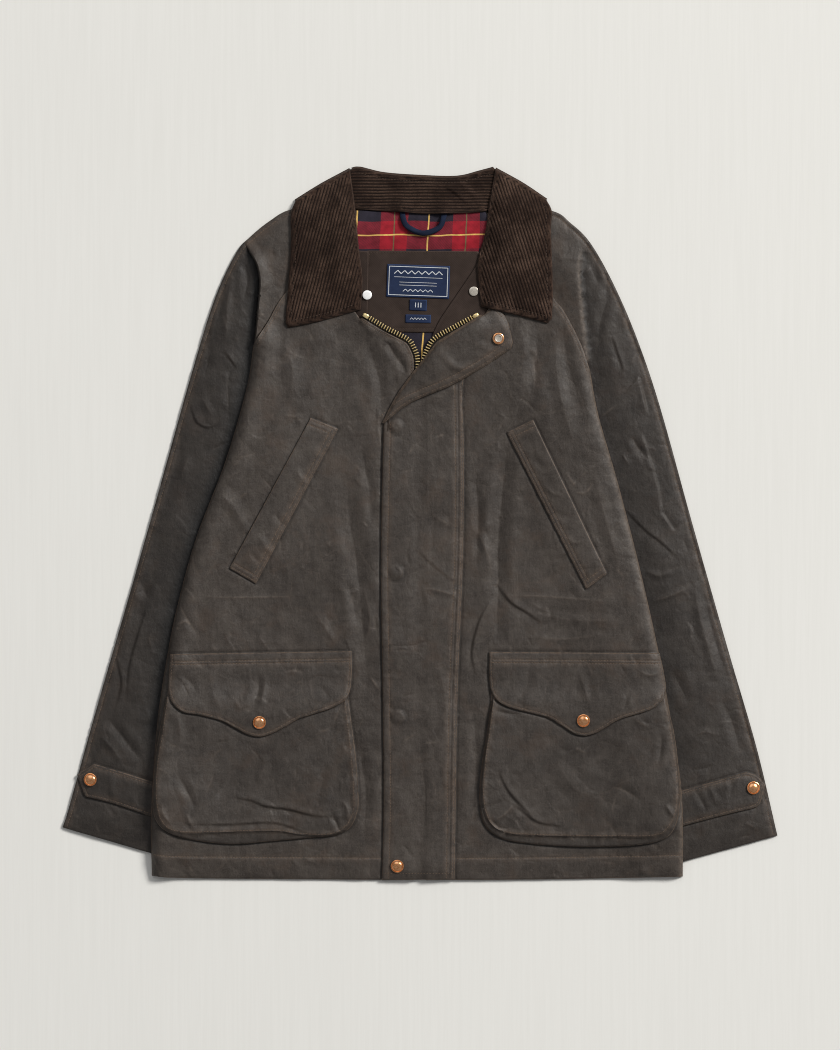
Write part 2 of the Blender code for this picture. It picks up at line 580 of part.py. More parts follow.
def snaps(pile, jacket):
    cap = snap_mesh("snap_cap", SNAP_RADIUS, SNAP_HEIGHT, COPPER)
    small = snap_mesh("snap_small", NECK_SNAP_RADIUS, NECK_SNAP_HEIGHT, NICKEL)
    ring_snap(pile, jacket)
    for name, (x, y) in SNAPS.items():
        if name != "snap_collar_corner":
            z = pile.highest(x, y, SNAP_RADIUS) + GAP
            place(name, cap.copy(), COPPER, (x * MM, y * MM, z * MM), jacket)
    for name, (x, y) in NECK_SNAPS.items():
        z = pile.highest(x, y, NECK_SNAP_RADIUS) + GAP
        place(name, small.copy(), NICKEL, (x * MM, y * MM, z * MM), jacket)
        pile.heights[pile.near(x, y, NECK_SNAP_RADIUS)] = z + NECK_SNAP_HEIGHT


def main():
    clear_scene()
    jacket = bpy.data.objects.new("waxed_jacket", None)
    bpy.context.scene.collection.objects.link(jacket)
    pile = Pile()
    fall = pile.lay(Layer([ROLL, [ROLL[-1], TURN_RIGHT[0]], TURN_RIGHT, FALL_EDGE, TURN_LEFT,
                           [TURN_LEFT[-1], ROLL[0]]], COLLAR_NET, CORDUROY))
    sleeves(pile, jacket)
    back(pile, jacket)
    neck_inside(pile, jacket)
    stand = pile.lay(Layer([ROLL, [ROLL[-1], STAND_SEAM[0]], STAND_SEAM, [STAND_SEAM[-1], ROLL[0]]],
                           COLLAR_NET, CORDUROY, 1.0, 15))
    front_edges(pile, jacket)
    fronts(pile, jacket)
    on_the_fronts(pile, jacket)
    snaps(pile, jacket)
    right = pile.lay(Layer([TURN_RIGHT, WING_RIGHT_OUTER, WING_RIGHT_BOTTOM, WING_RIGHT_ROLL],
                           COLLAR_NET, CORDUROY, COLLAR_LOFT, 25))
    left = pile.lay(Layer([WING_LEFT_ROLL, WING_LEFT_BOTTOM, WING_LEFT_OUTER, TURN_LEFT],
                          COLLAR_NET, CORDUROY, COLLAR_LOFT, 25))
    cloth("collar", CORD_BROWN, jacket, [fall, stand, right, left],
          [(0, 1, through(ROLL, COLLAR_NET)), (0, 2, through(TURN_RIGHT, COLLAR_NET)),
           (0, 3, through(TURN_LEFT, COLLAR_NET))])


main()
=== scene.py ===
"""Looks of the waxed cotton jacket, laid flat on its back.

Every piece of cloth is laid in turn on a raster of heights, as the real pieces lie on each other, so a flap
shows what is under it and no layer cuts another. Sizes are in millimetres unless a comment says otherwise:
X to the wearer's left, Y towards the collar, Z up. The outlines are the jacket's own, as in its solids.
"""

import math
from collections import namedtuple

import bmesh
import bpy
import numpy as np
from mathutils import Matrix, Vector
from mathutils.geometry import delaunay_2d_cdt


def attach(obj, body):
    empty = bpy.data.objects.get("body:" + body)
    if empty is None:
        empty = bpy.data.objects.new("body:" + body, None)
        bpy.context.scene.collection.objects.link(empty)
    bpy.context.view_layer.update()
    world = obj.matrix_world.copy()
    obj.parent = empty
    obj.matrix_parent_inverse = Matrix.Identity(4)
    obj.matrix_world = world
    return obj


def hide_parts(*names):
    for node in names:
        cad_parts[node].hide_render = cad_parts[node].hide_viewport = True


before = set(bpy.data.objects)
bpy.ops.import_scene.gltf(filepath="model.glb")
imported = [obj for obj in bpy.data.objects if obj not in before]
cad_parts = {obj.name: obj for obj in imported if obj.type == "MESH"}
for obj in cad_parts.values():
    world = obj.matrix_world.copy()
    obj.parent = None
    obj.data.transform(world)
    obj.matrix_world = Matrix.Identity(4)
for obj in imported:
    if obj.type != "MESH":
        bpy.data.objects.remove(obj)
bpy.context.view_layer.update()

MM = 0.001  # metres in a millimetre
LEAST_SHEET = 0.0101  # the smallest side that a flat piece of cloth is given, m

# Thicknesses
CLOTH = 1.3
DOUBLE_CLOTH = 1.8
WELT_CLOTH = 1.1
CORDUROY = 2.6
LINING = 1.0
TAPE = 1.4
GUSSET_STACK = 2.4  # the folded gusset under the face of a bag
BAG_MOUTH = 1.6  # a bag's whole thickness where its flap covers it

LEAST_THICKNESS = 0.25

# How a row of stitches, or the edge of something sewn on, presses in the cloth, and the shade painted beside
# that edge
SEAM_DEPTH, SEAM_WIDTH = 0.42, 0.9
GROOVE_DEPTH, GROOVE_WIDTH = 0.6, 1.1
GROOVE_SHADE, GROOVE_SHADE_WIDTH = 0.34, 1.2  # the painted shade is a share of black

# Making
GAP = 0.3  # between a layer and what it lies on
SEAM_LAP = 9.0
SIDE_TUCK = 2.5  # how far the back panel stays inside the fronts' side folds
OVERARM_TUCK = 0.8
FOLD_BULGE = 1.6
HEM_Y = -391.0
HEM_STITCH = 24.0
CUFF_HEM = 22.0
POCKET_MOUTH = (-214, 28)  # Y up to which a bag is full, and the stretch over which it then flattens
DEEP_PLEAT = 2.0  # a shoulder's pleat that is higher than this has a groove under it
OVERARM_STITCH = 4.5
CHAIN_HALF = 3.0
ZIP_TAPE_WIDTH = 15.0
LOOP_RADIUS, LOOP_SIDES = 3.0, 16
SNAP_RADIUS = 7.3
NECK_SNAP_RADIUS = 5.2
SLEEVE_GRAIN = 13  # degrees that each sleeve's warp is turned from the body's
WELT_GRAIN = 28  # degrees

# Nets: finer where more shows
BODY_NET = 3.2
SLEEVE_NET = 3.5
HIDDEN_NET = 8.0
POCKET_NET = 2.8
SMALL_NET = 2.2
WELT_NET = 2.6
LINING_NET = 2.8
CORDUROY_NET = 3.0  # along the wales
WALE_NET = 0.57  # across the wales
TAPE_NET = 3.0
LABEL_NET = 1.6

# Stitches
STITCH_PITCH = 3.3
STITCH_LENGTH = 2.3
STITCH_RADIUS = 0.30

# Corduroy
WALE_PITCH = 3.4
WALE_HEIGHT = 0.8

# Outlines: each row is a point (x, y) that the edge passes through
SIDE_RIGHT = [(-183, 197), (-191, 148), (-214, 69), (-246, -15), (-267, -91), (-278, -146), (-289, -221),
              (-295, -316), (-295, -386)]
SIDE_LEFT = [(187, 168), (196, 120), (217, 47), (238, -34), (257, -116), (269, -177), (283, -259),
             (288, -309), (289, -387)]
RAGLAN_RIGHT = [(-88, 322), (-118, 288), (-151, 250), (-167, 222), (-183, 197)]
RAGLAN_LEFT = [(90, 322), (118, 290), (146, 250), (159, 233), (176, 200), (187, 168)]
OVERARM_RIGHT = [(-82, 355), (-140, 347), (-165, 334), (-187, 316), (-202, 299), (-225, 250), (-250, 170),
                 (-290, 27), (-318, -72), (-357, -207), (-386, -311), (-393, -333)]
OVERARM_LEFT = [(84, 356), (145, 345), (165, 332), (187, 310), (212, 266), (238, 206), (264, 129), (300, -1),
                (338, -135), (370, -245), (393, -342)]
CUFF_RIGHT = [(-393, -333), (-297, -361), (-250, -375)]
CUFF_LEFT = [(393, -342), (291, -370), (242, -384)]
UNDERARM_RIGHT = [(-250, -375), (-232, -250), (-192, -100), (-147, 30), (-114, 150)]
UNDERARM_LEFT = [(242, -384), (228, -250), (188, -100), (145, 30), (114, 150)]
BACK_RAGLAN = [(114, 150), (104, 230), (82, 322)]
NECK_RIGHT = [(-66, 226), (-76, 245), (-82, 290), (-88, 322)]
NECK_LEFT = [(68, 226), (78, 245), (84, 290), (90, 322)]
BACK_NECK = [(72, 346), (0, 339), (-72, 347)]
CHAIN_RIGHT = [(-61, 230), (-38, 216), (-22, 208), (-12, 202), (-7, 194), (-3, 182), (-3, 160)]
CHAIN_LEFT = [(63, 230), (33, 214), (22, 208), (14, 202), (9, 194), (4, 180), (3, 160)]

ROLL = [(81, 392), (66, 388), (40, 382), (0, 383), (-40, 386), (-66, 392), (-75, 391)]
STAND_SEAM = [(-69, 346), (-22, 343), (11, 341), (66, 343), (76, 347)]
TURN_RIGHT = [(-77, 390.5), (-108, 374), (-137, 356)]
TURN_LEFT = [(139, 357), (112, 375), (83, 391)]
FALL_EDGE = [(-137, 356), (-100, 331), (-50, 315), (0, 311), (50, 315), (100, 331), (139, 357)]
WING_RIGHT_OUTER = [(-137, 356), (-142, 340), (-142, 302), (-146, 247), (-148, 222)]
WING_RIGHT_BOTTOM = [(-145, 216), (-110, 223), (-65, 236)]
WING_RIGHT_ROLL = [(-65, 236), (-63, 269), (-67, 302), (-71, 346), (-77, 390.5)]
WING_LEFT_ROLL = [(83, 391), (76, 352), (71, 318), (63, 285), (67, 239)]
WING_LEFT_BOTTOM = [(67, 239), (113, 228), (140, 221)]
WING_LEFT_OUTER = [(145, 226), (146, 258), (144, 322), (145, 344), (139, 357)]

FLAP_FOLD = [(68, 229), (35, 209), (17, 196), (6, 182), (-3, 171), (-20, 148), (-29, 133), (-40, 111)]
FLAP_FREE = [(-40, 111), (-43, -39), (-41, -193), (-40, -303), (-42, -391)]
FLAP_SEWN = [(38, -390), (41, -193), (47, -39), (48, 82), (47, 153), (60, 205), (68, 229)]
CORNER_EDGE = [(-40, 111), (-11, 133), (33, 152), (70, 173), (100, 193)]
CORNER_END = [(102, 200), (96, 224), (84, 238), (68, 229)]

BAG_RIGHT = [[(-80, -182), (-276, -182)],
             [(-276, -182), (-284, -219), (-290, -254), (-293, -300), (-290, -322), (-278, -336),
              (-253, -345), (-209, -351), (-164, -348), (-120, -344), (-92, -341), (-76, -332),
              (-68, -312), (-68, -290), (-71, -250), (-80, -182)]]
BAG_LEFT = [[(267, -182), (79, -182)],
            [(79, -182), (74, -225), (68, -262), (65, -300), (70, -328), (86, -343), (115, -350), (177, -354),
             (235, -352), (267, -345), (280, -330), (285, -305), (284, -272), (279, -229), (267, -182)]]
POCKET_FLAP_RIGHT = [[(-75, -139), (-274, -142)],
                     [(-274, -142), (-275, -185), (-262, -204), (-240, -209), (-218, -215), (-203, -223),
                      (-190, -230), (-177, -233), (-164, -230), (-150, -223), (-132, -213), (-96, -201),
                      (-79, -188), (-75, -165), (-75, -139)]]
POCKET_FLAP_LEFT = [[(263, -141), (76, -140)],
                    [(76, -140), (76, -168), (80, -187), (96, -200), (137, -211), (154, -220),
                     (168, -229), (180, -232), (192, -229), (204, -222), (220, -213), (256, -201),
                     (269, -184), (268, -165), (263, -141)]]
WELT_RIGHT = [[(-120, 117), (-209, -48)], [(-209, -48), (-180, -65)], [(-180, -65), (-90, 105)],
              [(-90, 105), (-120, 117)]]
WELT_LEFT = [[(95, 101), (182, -71)], [(182, -71), (205, -54)], [(205, -54), (124, 115)],
             [(124, 115), (95, 101)]]
TAB_RIGHT = [[(-377, -275), (-368, -299)], [(-368, -299), (-335, -307), (-262, -332)],
             [(-262, -332), (-262, -293)], [(-262, -293), (-295, -282), (-330, -271), (-358, -263)],
             [(-358, -263), (-377, -275)]]
TAB_LEFT = [[(379, -286), (370, -276), (358, -272)], [(358, -272), (326, -281), (256, -301)],
            [(256, -301), (256, -340)], [(256, -340), (326, -321), (364, -312)],
            [(364, -312), (373, -307), (379, -286)]]
HIDDEN_TAB_EDGE = 2  # the edge of each tab that goes under the front

# Where the face of each bag ends in a seam, with its gusset showing outside it
FACE_RIGHT = [(-276, -190), (-282, -232), (-287, -262), (-288, -300), (-281, -326), (-262, -336),
              (-211, -336), (-158, -335), (-130, -339), (-98, -339), (-81, -330), (-73, -312),
              (-73, -290), (-76, -250), (-83, -190)]
FACE_LEFT = [(82, -190), (77, -225), (72, -262), (70, -300), (77, -325), (95, -337), (130, -340),
             (200, -341), (255, -340), (272, -330), (280, -310), (281, -278), (277, -243), (268, -190)]

# Where each front's fold runs on up over the shoulder, on the sleeve
FOLD_RIGHT = [(-195, 313), (-187, 298), (-180, 284), (-177, 268), (-178, 249), (-181, 216), (-183, 197)]
FOLD_LEFT = [(184, 310), (178, 292), (177, 275), (179, 244), (182, 216), (186, 180)]

# Inside the neck
LINING_EDGES = [[(-72, 345), (72, 344)],
                [(72, 344), (84, 300), (66, 212), (6, 158), (-56, 212), (-84, 300), (-72, 345)]]
LINING_RIDGES = [[(-68, 306), (-50, 312), (-32, 320)], [(-62, 322), (-44, 326), (-30, 330)],
                 [(-24, 318), (-8, 324), (6, 332)], [(14, 314), (34, 318), (56, 330)],
                 [(30, 306), (50, 309), (70, 318)]]
PATCH_EDGES = [[(-58, 301), (-59, 284), (-60, 213)], [(-60, 213), (0, 211), (60, 213)],
               [(60, 213), (74, 240), (72, 280), (64, 300)], [(64, 300), (-58, 301)]]
PATCH_STITCHES = [[(-55.5, 298.5), (62, 298.0)], [(-55.5, 298), (-56.5, 284)], [(-50, 215), (50, 215)]]
FACING_LEFT_EDGE = [(63, 286), (40, 252), (19, 220), (6, 186)]
FACING_LEFT_REST = [[(6, 186), (22, 180), (78, 222)], [(78, 222), (86, 286)], [(86, 286), (63, 286)]]
FACING_RIGHT = [[(-80, 302), (-76, 226)], [(-76, 226), (-58, 222)], [(-58, 222), (-57, 262), (-56.5, 300)],
                [(-56.5, 300), (-80, 302)]]
PATCH_GROOVE = [(62, 286), (39, 252), (18, 220)]  # where the left facing presses on the patch, with painted shadow beside its edge
HANGER_LOOP = [(-19, 349), (-19, 340), (-14, 327), (3, 320), (20, 325), (26, 338), (27, 349)]

# Ridges on the storm flap's turned corner, and their heights
CORNER_RIDGES = [([(20, 190), (40, 172), (60, 174)], 0.8), ([(86, 226), (94, 214), (98, 204)], 0.5),
                 ([(52, 206), (66, 196), (84, 190)], 0.5)]

# Labels on the neck patch: centre x and y, width and height, and turn in degrees
Label = namedtuple("Label", "x y width height turn")
LABELS = {
    "label_main": Label(-2, 267, 69, 36, -2),
    "label_size": Label(-2, 241, 19, 12, -2),
    "label_care": Label(-2, 226, 28, 9, -1),
}

SNAPS = {
    "snap_pocket_right": (-176, -217),
    "snap_pocket_left": (179, -215),
    "snap_cuff_right": (-362, -280),
    "snap_cuff_left": (366, -289),
    "snap_hem": (-25, -375),
}
RING_SNAP = (86, 204)
NECK_SNAPS = {"snap_neck_right": (-58, 252), "snap_neck_left": (59, 256)}
HIDDEN_SNAPS = [(-26, 108), (-26, -53), (-24, -211)]  # their caps are under the storm flap and raise it

# Turned parts of the snaps: each row is a radius and a height, from the axis below to the axis above
CAP_PROFILE = [(0, 0), (6.4, 0.0), (7.1, 0.35), (7.3, 0.9), (7.0, 1.45), (6.45, 1.6), (6.1, 1.05), (5.8, 1.3),
               (5.2, 2.05), (4.0, 2.65), (2.6, 3.05), (1.3, 3.25), (0, 3.3)]
RING_PROFILE = [(0, 0), (5.9, 0), (6.5, 0.5), (6.4, 1.2), (5.8, 1.7), (5.1, 1.8), (4.5, 1.4), (4.2, 0.6),
                (0, 0.6)]
SOCKET_PROFILE = [(0, 0.6), (4.1, 0.6), (4.2, 1.5), (3.7, 1.9), (3.2, 1.8), (2.9, 1.1), (1.6, 0.95),
                  (0, 0.95)]
NECK_SNAP_PROFILE = [(0, 0), (4.6, 0), (5.1, 0.4), (5.2, 0.9), (5.0, 1.3), (4.5, 1.5), (3.0, 1.6),
                     (0, 1.65)]

# Teeth of the zip: length across the tape, width along it and height. A tooth's rows are shares of those
# along its length, and its section is shares of the width and height.
FIRST_TOOTH, TOOTH_PITCH = 7.4, 3.1
TOOTH, STOP = (5.0, 1.55, 2.2), (4.4, 7.6, 2.4)
TOOTH_ROWS = [(-0.5, 0.75, 0.85), (-0.32, 1.0, 1.0), (0.05, 0.8, 1.0), (0.28, 1.0, 1.0), (0.5, 0.7, 0.85)]
TOOTH_SECTION = [(-0.5, 0.0), (-0.5, 0.65), (-0.25, 1.0), (0.25, 1.0), (0.5, 0.65), (0.5, 0.0)]

# The two halves of the jacket. sign is that of X in the half. side_bulge is how far the front's side fold
# stands up, then how pale its crest is painted: broken wax, and a painted highlight where it faces the light.
# arm_shade is how much painted shade darkens the arm, which lies lower than the body. The pleat of the sleeve
# at the shoulder has a height, a width, a painted shadow beside it and a pale line along it: broken wax, and
# a painted highlight where it faces the light.
# The seeds are of the noise in the sleeve, the front, the welt and the pocket.
Half = namedtuple("Half", "sign side raglan neck chain overarm cuff underarm shoulder tab bag face flap welt "
                          "side_bulge side_wax arm_shade pleat_height pleat_width pleat_shade pleat_wax "
                          "sleeve_seed front_seed welt_seed pocket_seed")
HALVES = {
    "right": Half(sign=-1, side=SIDE_RIGHT, raglan=RAGLAN_RIGHT, neck=NECK_RIGHT, chain=CHAIN_RIGHT,
                  overarm=OVERARM_RIGHT, cuff=CUFF_RIGHT, underarm=UNDERARM_RIGHT, shoulder=FOLD_RIGHT,
                  tab=TAB_RIGHT, bag=BAG_RIGHT, face=FACE_RIGHT, flap=POCKET_FLAP_RIGHT, welt=WELT_RIGHT,
                  side_bulge=4.8, side_wax=0.08, arm_shade=0.46,
                  pleat_height=4.4, pleat_width=2.4, pleat_shade=0.88, pleat_wax=0.10,
                  sleeve_seed=40, front_seed=10, welt_seed=100, pocket_seed=120),
    "left": Half(sign=1, side=SIDE_LEFT, raglan=RAGLAN_LEFT, neck=NECK_LEFT, chain=CHAIN_LEFT,
                 overarm=OVERARM_LEFT, cuff=CUFF_LEFT, underarm=UNDERARM_LEFT, shoulder=FOLD_LEFT,
                 tab=TAB_LEFT, bag=BAG_LEFT, face=FACE_LEFT, flap=POCKET_FLAP_LEFT, welt=WELT_LEFT,
                 side_bulge=2.0, side_wax=0.66, arm_shade=0.36,
                 pleat_height=1.3, pleat_width=5.0, pleat_shade=0.30, pleat_wax=0.85,
                 sleeve_seed=20, front_seed=14, welt_seed=104, pocket_seed=130),
}

# The wings of the collar: their edges in order, and by name. grain is the wales', in degrees from Y.
Wing = namedtuple("Wing", "edges roll bottom outer grain seed")
WINGS = {
    "right": Wing([TURN_RIGHT, WING_RIGHT_OUTER, WING_RIGHT_BOTTOM, WING_RIGHT_ROLL], WING_RIGHT_ROLL,
                  WING_RIGHT_BOTTOM, WING_RIGHT_OUTER, grain=-15.0, seed=140),
    "left": Wing([WING_LEFT_ROLL, WING_LEFT_BOTTOM, WING_LEFT_OUTER, TURN_LEFT], WING_LEFT_ROLL,
                 WING_LEFT_BOTTOM, WING_LEFT_OUTER, grain=18.0, seed=144),
}

AREA_PER_CREASE = 620.0  # mm2 of a worn piece for each of its small creases
CREASE_DEPTH, CREASE_WIDTH = 1.25, 0.66  # each crease's share of the depth and half width in its row

# Creases placed one by one. shape: -1 a trough, 1 a ridge, 0 a fold with a high side to the left of its line.
# depth and width (half of the whole) in mm, and wax: how far it has broken pale along the crease, 0 to 1.
Crease = namedtuple("Crease", "points depth width shape wax")
CREASES = {
    "front_right": [
        Crease([(-80, 60), (-78, 10), (-70, -40), (-62, -120), (-58, -190)], 2.0, 15, -1, 0.0),
        Crease([(-44, 219), (-30, 190), (-11, 164)], 1.6, 7, -1, 0.1),
        Crease([(-60, 205), (-45, 160), (-42, 120)], 1.2, 9, -1, 0.0),
        Crease([(-238, -79), (-200, -80), (-137, -79)], 0.25, 2.5, 1, 0.6),
        Crease([(-228, 40), (-205, 20), (-190, -10)], 1.0, 10, 1, 0.0),
        Crease([(-262, -92), (-250, -112), (-240, -125)], 0.6, 6, -1, 0.4),
        Crease([(-267, -110), (-258, -106), (-250, -110)], 0.3, 3, 1, 0.6),
        Crease([(-62, -69), (-55, -106), (-62, -135)], 1.2, 8, 1, 0.2),
        Crease([(-82, -60), (-74, -84), (-70, -110)], 1.0, 7, -1, 0.0),
        Crease([(-72, -225), (-60, -290), (-62, -350)], 1.2, 9, -1, 0.0),
        Crease([(-56, -166), (-50, -174), (-44, -182)], 0.3, 2.5, 1, 0.6),
        Crease([(-120, -90), (-100, -120), (-90, -136)], 0.8, 9, 1, 0.1),
        Crease([(-150, 205), (-140, 170), (-142, 130)], 0.9, 12, 1, 0.1),
        Crease([(-66, 90), (-56, 40), (-54, 0)], 1.0, 8, -1, 0.0),
        Crease([(-176, 240), (-166, 205), (-172, 160)], 1.0, 10, 1, 0.0),
        Crease([(-150, 120), (-136, 118), (-128, 112)], 0.4, 6, 1, 0.3),
    ],
    "front_left": [
        Crease([(97, 95), (91, 40), (86, -20), (86, -70), (84, -132)], 2.8, 13, -1, 0.0),
        Crease([(83, -64), (99, -85), (116, -96), (133, -108)], 1.3, 6, 0, 0.35),
        Crease([(80, -80), (67, -101), (59, -126), (57, -146), (61, -166)], 1.5, 6, 0, 0.1),
        Crease([(171, 36), (178, 34), (184, 37), (189, 47)], 0.3, 2.5, 1, 0.8),
        Crease([(91, -78), (135, -79), (202, -84)], 0.25, 2.5, 1, 0.5),
        Crease([(118, -123), (157, -126), (192, -122)], 0.35, 4, 1, 0.35),
        Crease([(150, -46), (180, -45), (212, -47)], 0.2, 2.5, 1, 0.35),
        Crease([(130, 220), (126, 170), (118, 130)], 1.6, 13, -1, 0.0),
        Crease([(156, 230), (160, 190), (170, 150), (184, 100)], 0.9, 9, -1, 0.0),
        Crease([(148, 200), (152, 150), (168, 90)], 1.2, 10, 1, 0.1),
        Crease([(190, 60), (205, 0), (222, -60)], 1.1, 10, 1, 0.1),
        Crease([(120, -96), (160, -104), (215, -106)], 0.6, 8, 1, 0.1),
        Crease([(58, -200), (62, -260), (56, -330)], 1.3, 8, -1, 0.0),
        Crease([(60, 60), (64, 10), (62, -50)], 1.2, 7, -1, 0.05),
        Crease([(60, 0), (75, -35), (78, -60)], 0.8, 6, 1, 0.3),
    ],
    "storm_flap": [
        Crease([(-8, -24), (18, -48), (42, -66)], 0.6, 5, 0, 0.6),
        Crease([(2, -70), (22, -73), (42, -80)], 0.5, 4, 1, 0.5),
        Crease([(8, 40), (14, -20), (10, -60)], 0.6, 9, -1, 0.0),
        Crease([(0, -250), (6, -300), (2, -350)], 0.7, 8, -1, 0.1),
        Crease([(20, -150), (28, -200), (22, -250)], 0.6, 8, 1, 0.1),
    ],
    "sleeve_right": [
        Crease([(-207, 272), (-212, 240), (-213, 203)], 1.2, 7, 1, 0.2),
        Crease([(-196, 292), (-190, 270), (-194, 245)], 1.3, 6, -1, 0.0),
        Crease([(-216, 191), (-209, 182), (-201, 170)], 1.0, 4, 0, 0.5),
        Crease([(-232, 205), (-233, 180), (-238, 160)], 0.9, 7, -1, 0.0),
        Crease([(-252, 132), (-246, 113), (-232, 106), (-221, 113)], 1.1, 5, 0, 0.2),
        Crease([(-240, 140), (-232, 126), (-228, 118)], 0.8, 6, 1, 0.3),
        Crease([(-254, 76), (-259, 62), (-263, 50)], 0.8, 6, 1, 0.3),
        Crease([(-262, 100), (-285, 20), (-300, -40)], 1.2, 14, -1, 0.0),
        Crease([(-309, -58), (-303, -72), (-298, -84)], 1.0, 9, -1, 0.0),
        Crease([(-292, -10), (-318, -90), (-330, -150)], 1.3, 10, 1, 0.1),
        Crease([(-335, -143), (-328, -175), (-336, -206)], 1.2, 7, 0, 0.2),
        Crease([(-300, -90), (-318, -150), (-322, -190)], 1.2, 8, 0, 0.1),
        Crease([(-344, -212), (-327, -233), (-308, -258)], 1.4, 8, -1, 0.1),
        Crease([(-352, -232), (-338, -246), (-328, -262)], 0.9, 6, 1, 0.1),
        Crease([(-355, -255), (-372, -270), (-380, -292)], 0.7, 6, -1, 0.1),
    ],
    "sleeve_left": [
        Crease([(184, 300), (190, 285), (196, 262)], 1.6, 6, -1, 0.0),
        Crease([(204, 272), (206, 250), (198, 222), (196, 195)], 1.3, 8, -1, 0.0),
        Crease([(222, 250), (226, 232), (222, 215)], 1.2, 7, 1, 0.4),
        Crease([(211, 208), (217, 188), (224, 167)], 1.1, 4, 0, 0.3),
        Crease([(240, 163), (232, 153), (224, 144)], 1.3, 5, 0, 0.3),
        Crease([(250, 121), (246, 140), (240, 163)], 1.5, 6, 0, 0.2),
        Crease([(197, 117), (206, 124), (217, 132)], 0.5, 3, 1, 0.7),
        Crease([(232, 98), (240, 84), (250, 72)], 1.2, 6, -1, 0.2),
        Crease([(266, 6), (262, 40), (251, 78), (243, 104)], 0.9, 9, 0, 0.1),
        Crease([(222, 78), (226, 71), (230, 65)], 0.5, 3, 1, 0.5),
        Crease([(224, 18), (247, -6), (265, -20), (286, -40)], 0.9, 6, 0, 0.1),
        Crease([(280, -8), (272, 4), (266, 14)], 1.2, 6, 0, 0.2),
        Crease([(248, -50), (262, -56), (276, -50)], 0.9, 5, 1, 0.3),
        Crease([(254, -85), (275, -78), (297, -68)], 0.7, 5, 1, 0.5),
        Crease([(301, -60), (307, -100), (328, -176)], 0.9, 8, 1, 0.2),
        Crease([(312, -70), (322, -120), (342, -180)], 0.6, 8, -1, 0.0),
        Crease([(277, -158), (286, -178), (296, -198)], 1.1, 8, -1, 0.0),
        Crease([(330, -190), (342, -215), (352, -250)], 1.0, 8, -1, 0.1),
        Crease([(300, -235), (312, -228), (330, -232)], 0.6, 5, 1, 0.3),
    ],
    "pocket_right": [
        Crease([(-207, -299), (-185, -303), (-170, -309), (-143, -313), (-119, -319), (-96, -321)],
               1.5, 6, 0, 0.2),
        Crease([(-258, -328), (-211, -329), (-169, -327), (-148, -330), (-129, -337), (-112, -341)],
               1.1, 4, 0, 0.1),
        Crease([(-97, -318), (-92, -327), (-88, -337)], 1.2, 4, -1, 0.2),
        Crease([(-190, -252), (-206, -275), (-222, -300)], 1.2, 8, -1, 0.0),
        Crease([(-166, -254), (-172, -268), (-180, -284)], 0.8, 7, 1, 0.1),
        Crease([(-264, -275), (-254, -294), (-246, -312)], 1.1, 6, -1, 0.0),
        Crease([(-103, -262), (-111, -298), (-120, -315)], 1.0, 8, -1, 0.0),
        Crease([(-283, -305), (-280, -318), (-272, -328)], 0.9, 4, 1, 0.4),
        Crease([(-256, -316), (-252, -326), (-246, -334)], 0.9, 4, 1, 0.4),
        Crease([(-86, -302), (-80, -312), (-80, -324)], 0.9, 4, 1, 0.3),
        Crease([(-268, -205), (-262, -228), (-266, -250)], 0.9, 7, 1, 0.1),
    ],
    "pocket_left": [
        Crease([(86, -270), (98, -294), (124, -322)], 1.3, 6, 0, 0.2),
        Crease([(103, -306), (128, -326), (156, -331)], 1.3, 6, 0, 0.2),
        Crease([(80, -326), (92, -318), (102, -308)], 1.1, 4, 1, 0.5),
        Crease([(76, -322), (86, -332), (98, -334)], 0.9, 3, -1, 0.2),
        Crease([(83, -204), (94, -207), (110, -209)], 0.8, 4, -1, 0.1),
        Crease([(144, -236), (132, -250), (116, -264)], 0.9, 9, 1, 0.1),
        Crease([(264, -228), (264, -245), (260, -264)], 1.2, 5, -1, 0.1),
        Crease([(268, -306), (274, -314), (279, -322)], 0.9, 4, 1, 0.3),
        Crease([(150, -260), (170, -290), (200, -300)], 0.8, 12, 1, 0.1),
        Crease([(208, -288), (226, -292), (246, -306)], 0.6, 6, -1, 0.2),
    ],
    "pocket_flap_right": [
        Crease([(-177, -164), (-178, -185), (-188, -206)], 1.2, 7, -1, 0.0),
        Crease([(-170, -168), (-172, -182), (-175, -200)], 0.9, 5, 1, 0.1),
        Crease([(-230, -160), (-226, -185), (-215, -205)], 0.5, 9, 1, 0.1),
        Crease([(-262, -165), (-252, -172), (-244, -184)], 0.5, 6, -1, 0.0),
        Crease([(-112, -176), (-104, -184), (-98, -192)], 0.5, 5, -1, 0.1),
    ],
    "pocket_flap_left": [
        Crease([(120, -160), (116, -180), (104, -196)], 0.7, 8, -1, 0.1),
        Crease([(176, -163), (180, -178), (184, -194)], 0.9, 6, 1, 0.2),
        Crease([(228, -186), (225, -196), (222, -204)], 0.7, 4, -1, 0.1),
        Crease([(240, -160), (250, -165), (262, -163)], 0.6, 4, 1, 0.3),
    ],
    "welt_right": [
        Crease([(-136, 62), (-130, 50), (-120, 42)], 0.5, 5, 1, 0.1),
        Crease([(-160, 14), (-154, 4), (-144, -4)], 0.6, 6, -1, 0.1),
        Crease([(-176, -14), (-168, -26), (-158, -34)], 0.6, 6, 1, 0.1),
        Crease([(-186, -30), (-180, -38), (-172, -44)], 0.5, 5, -1, 0.1),
    ],
    "welt_left": [
        Crease([(124, 78), (130, 66), (142, 60)], 0.6, 5, -1, 0.1),
        Crease([(136, 44), (146, 34), (156, 32)], 0.6, 5, 1, 0.2),
        Crease([(148, 14), (158, 8), (168, 8)], 0.7, 5, -1, 0.1),
        Crease([(160, -14), (170, -20), (180, -16)], 0.6, 5, 1, 0.1),
        Crease([(176, -48), (184, -50), (192, -44)], 0.5, 4, -1, 0.1),
    ],
    "cuff_tab_right": [
        Crease([(-340, -275), (-338, -290), (-332, -305)], 0.4, 6, 1, 0.1),
        Crease([(-306, -288), (-310, -300), (-306, -314)], 0.4, 5, -1, 0.1),
    ],
    "cuff_tab_left": [
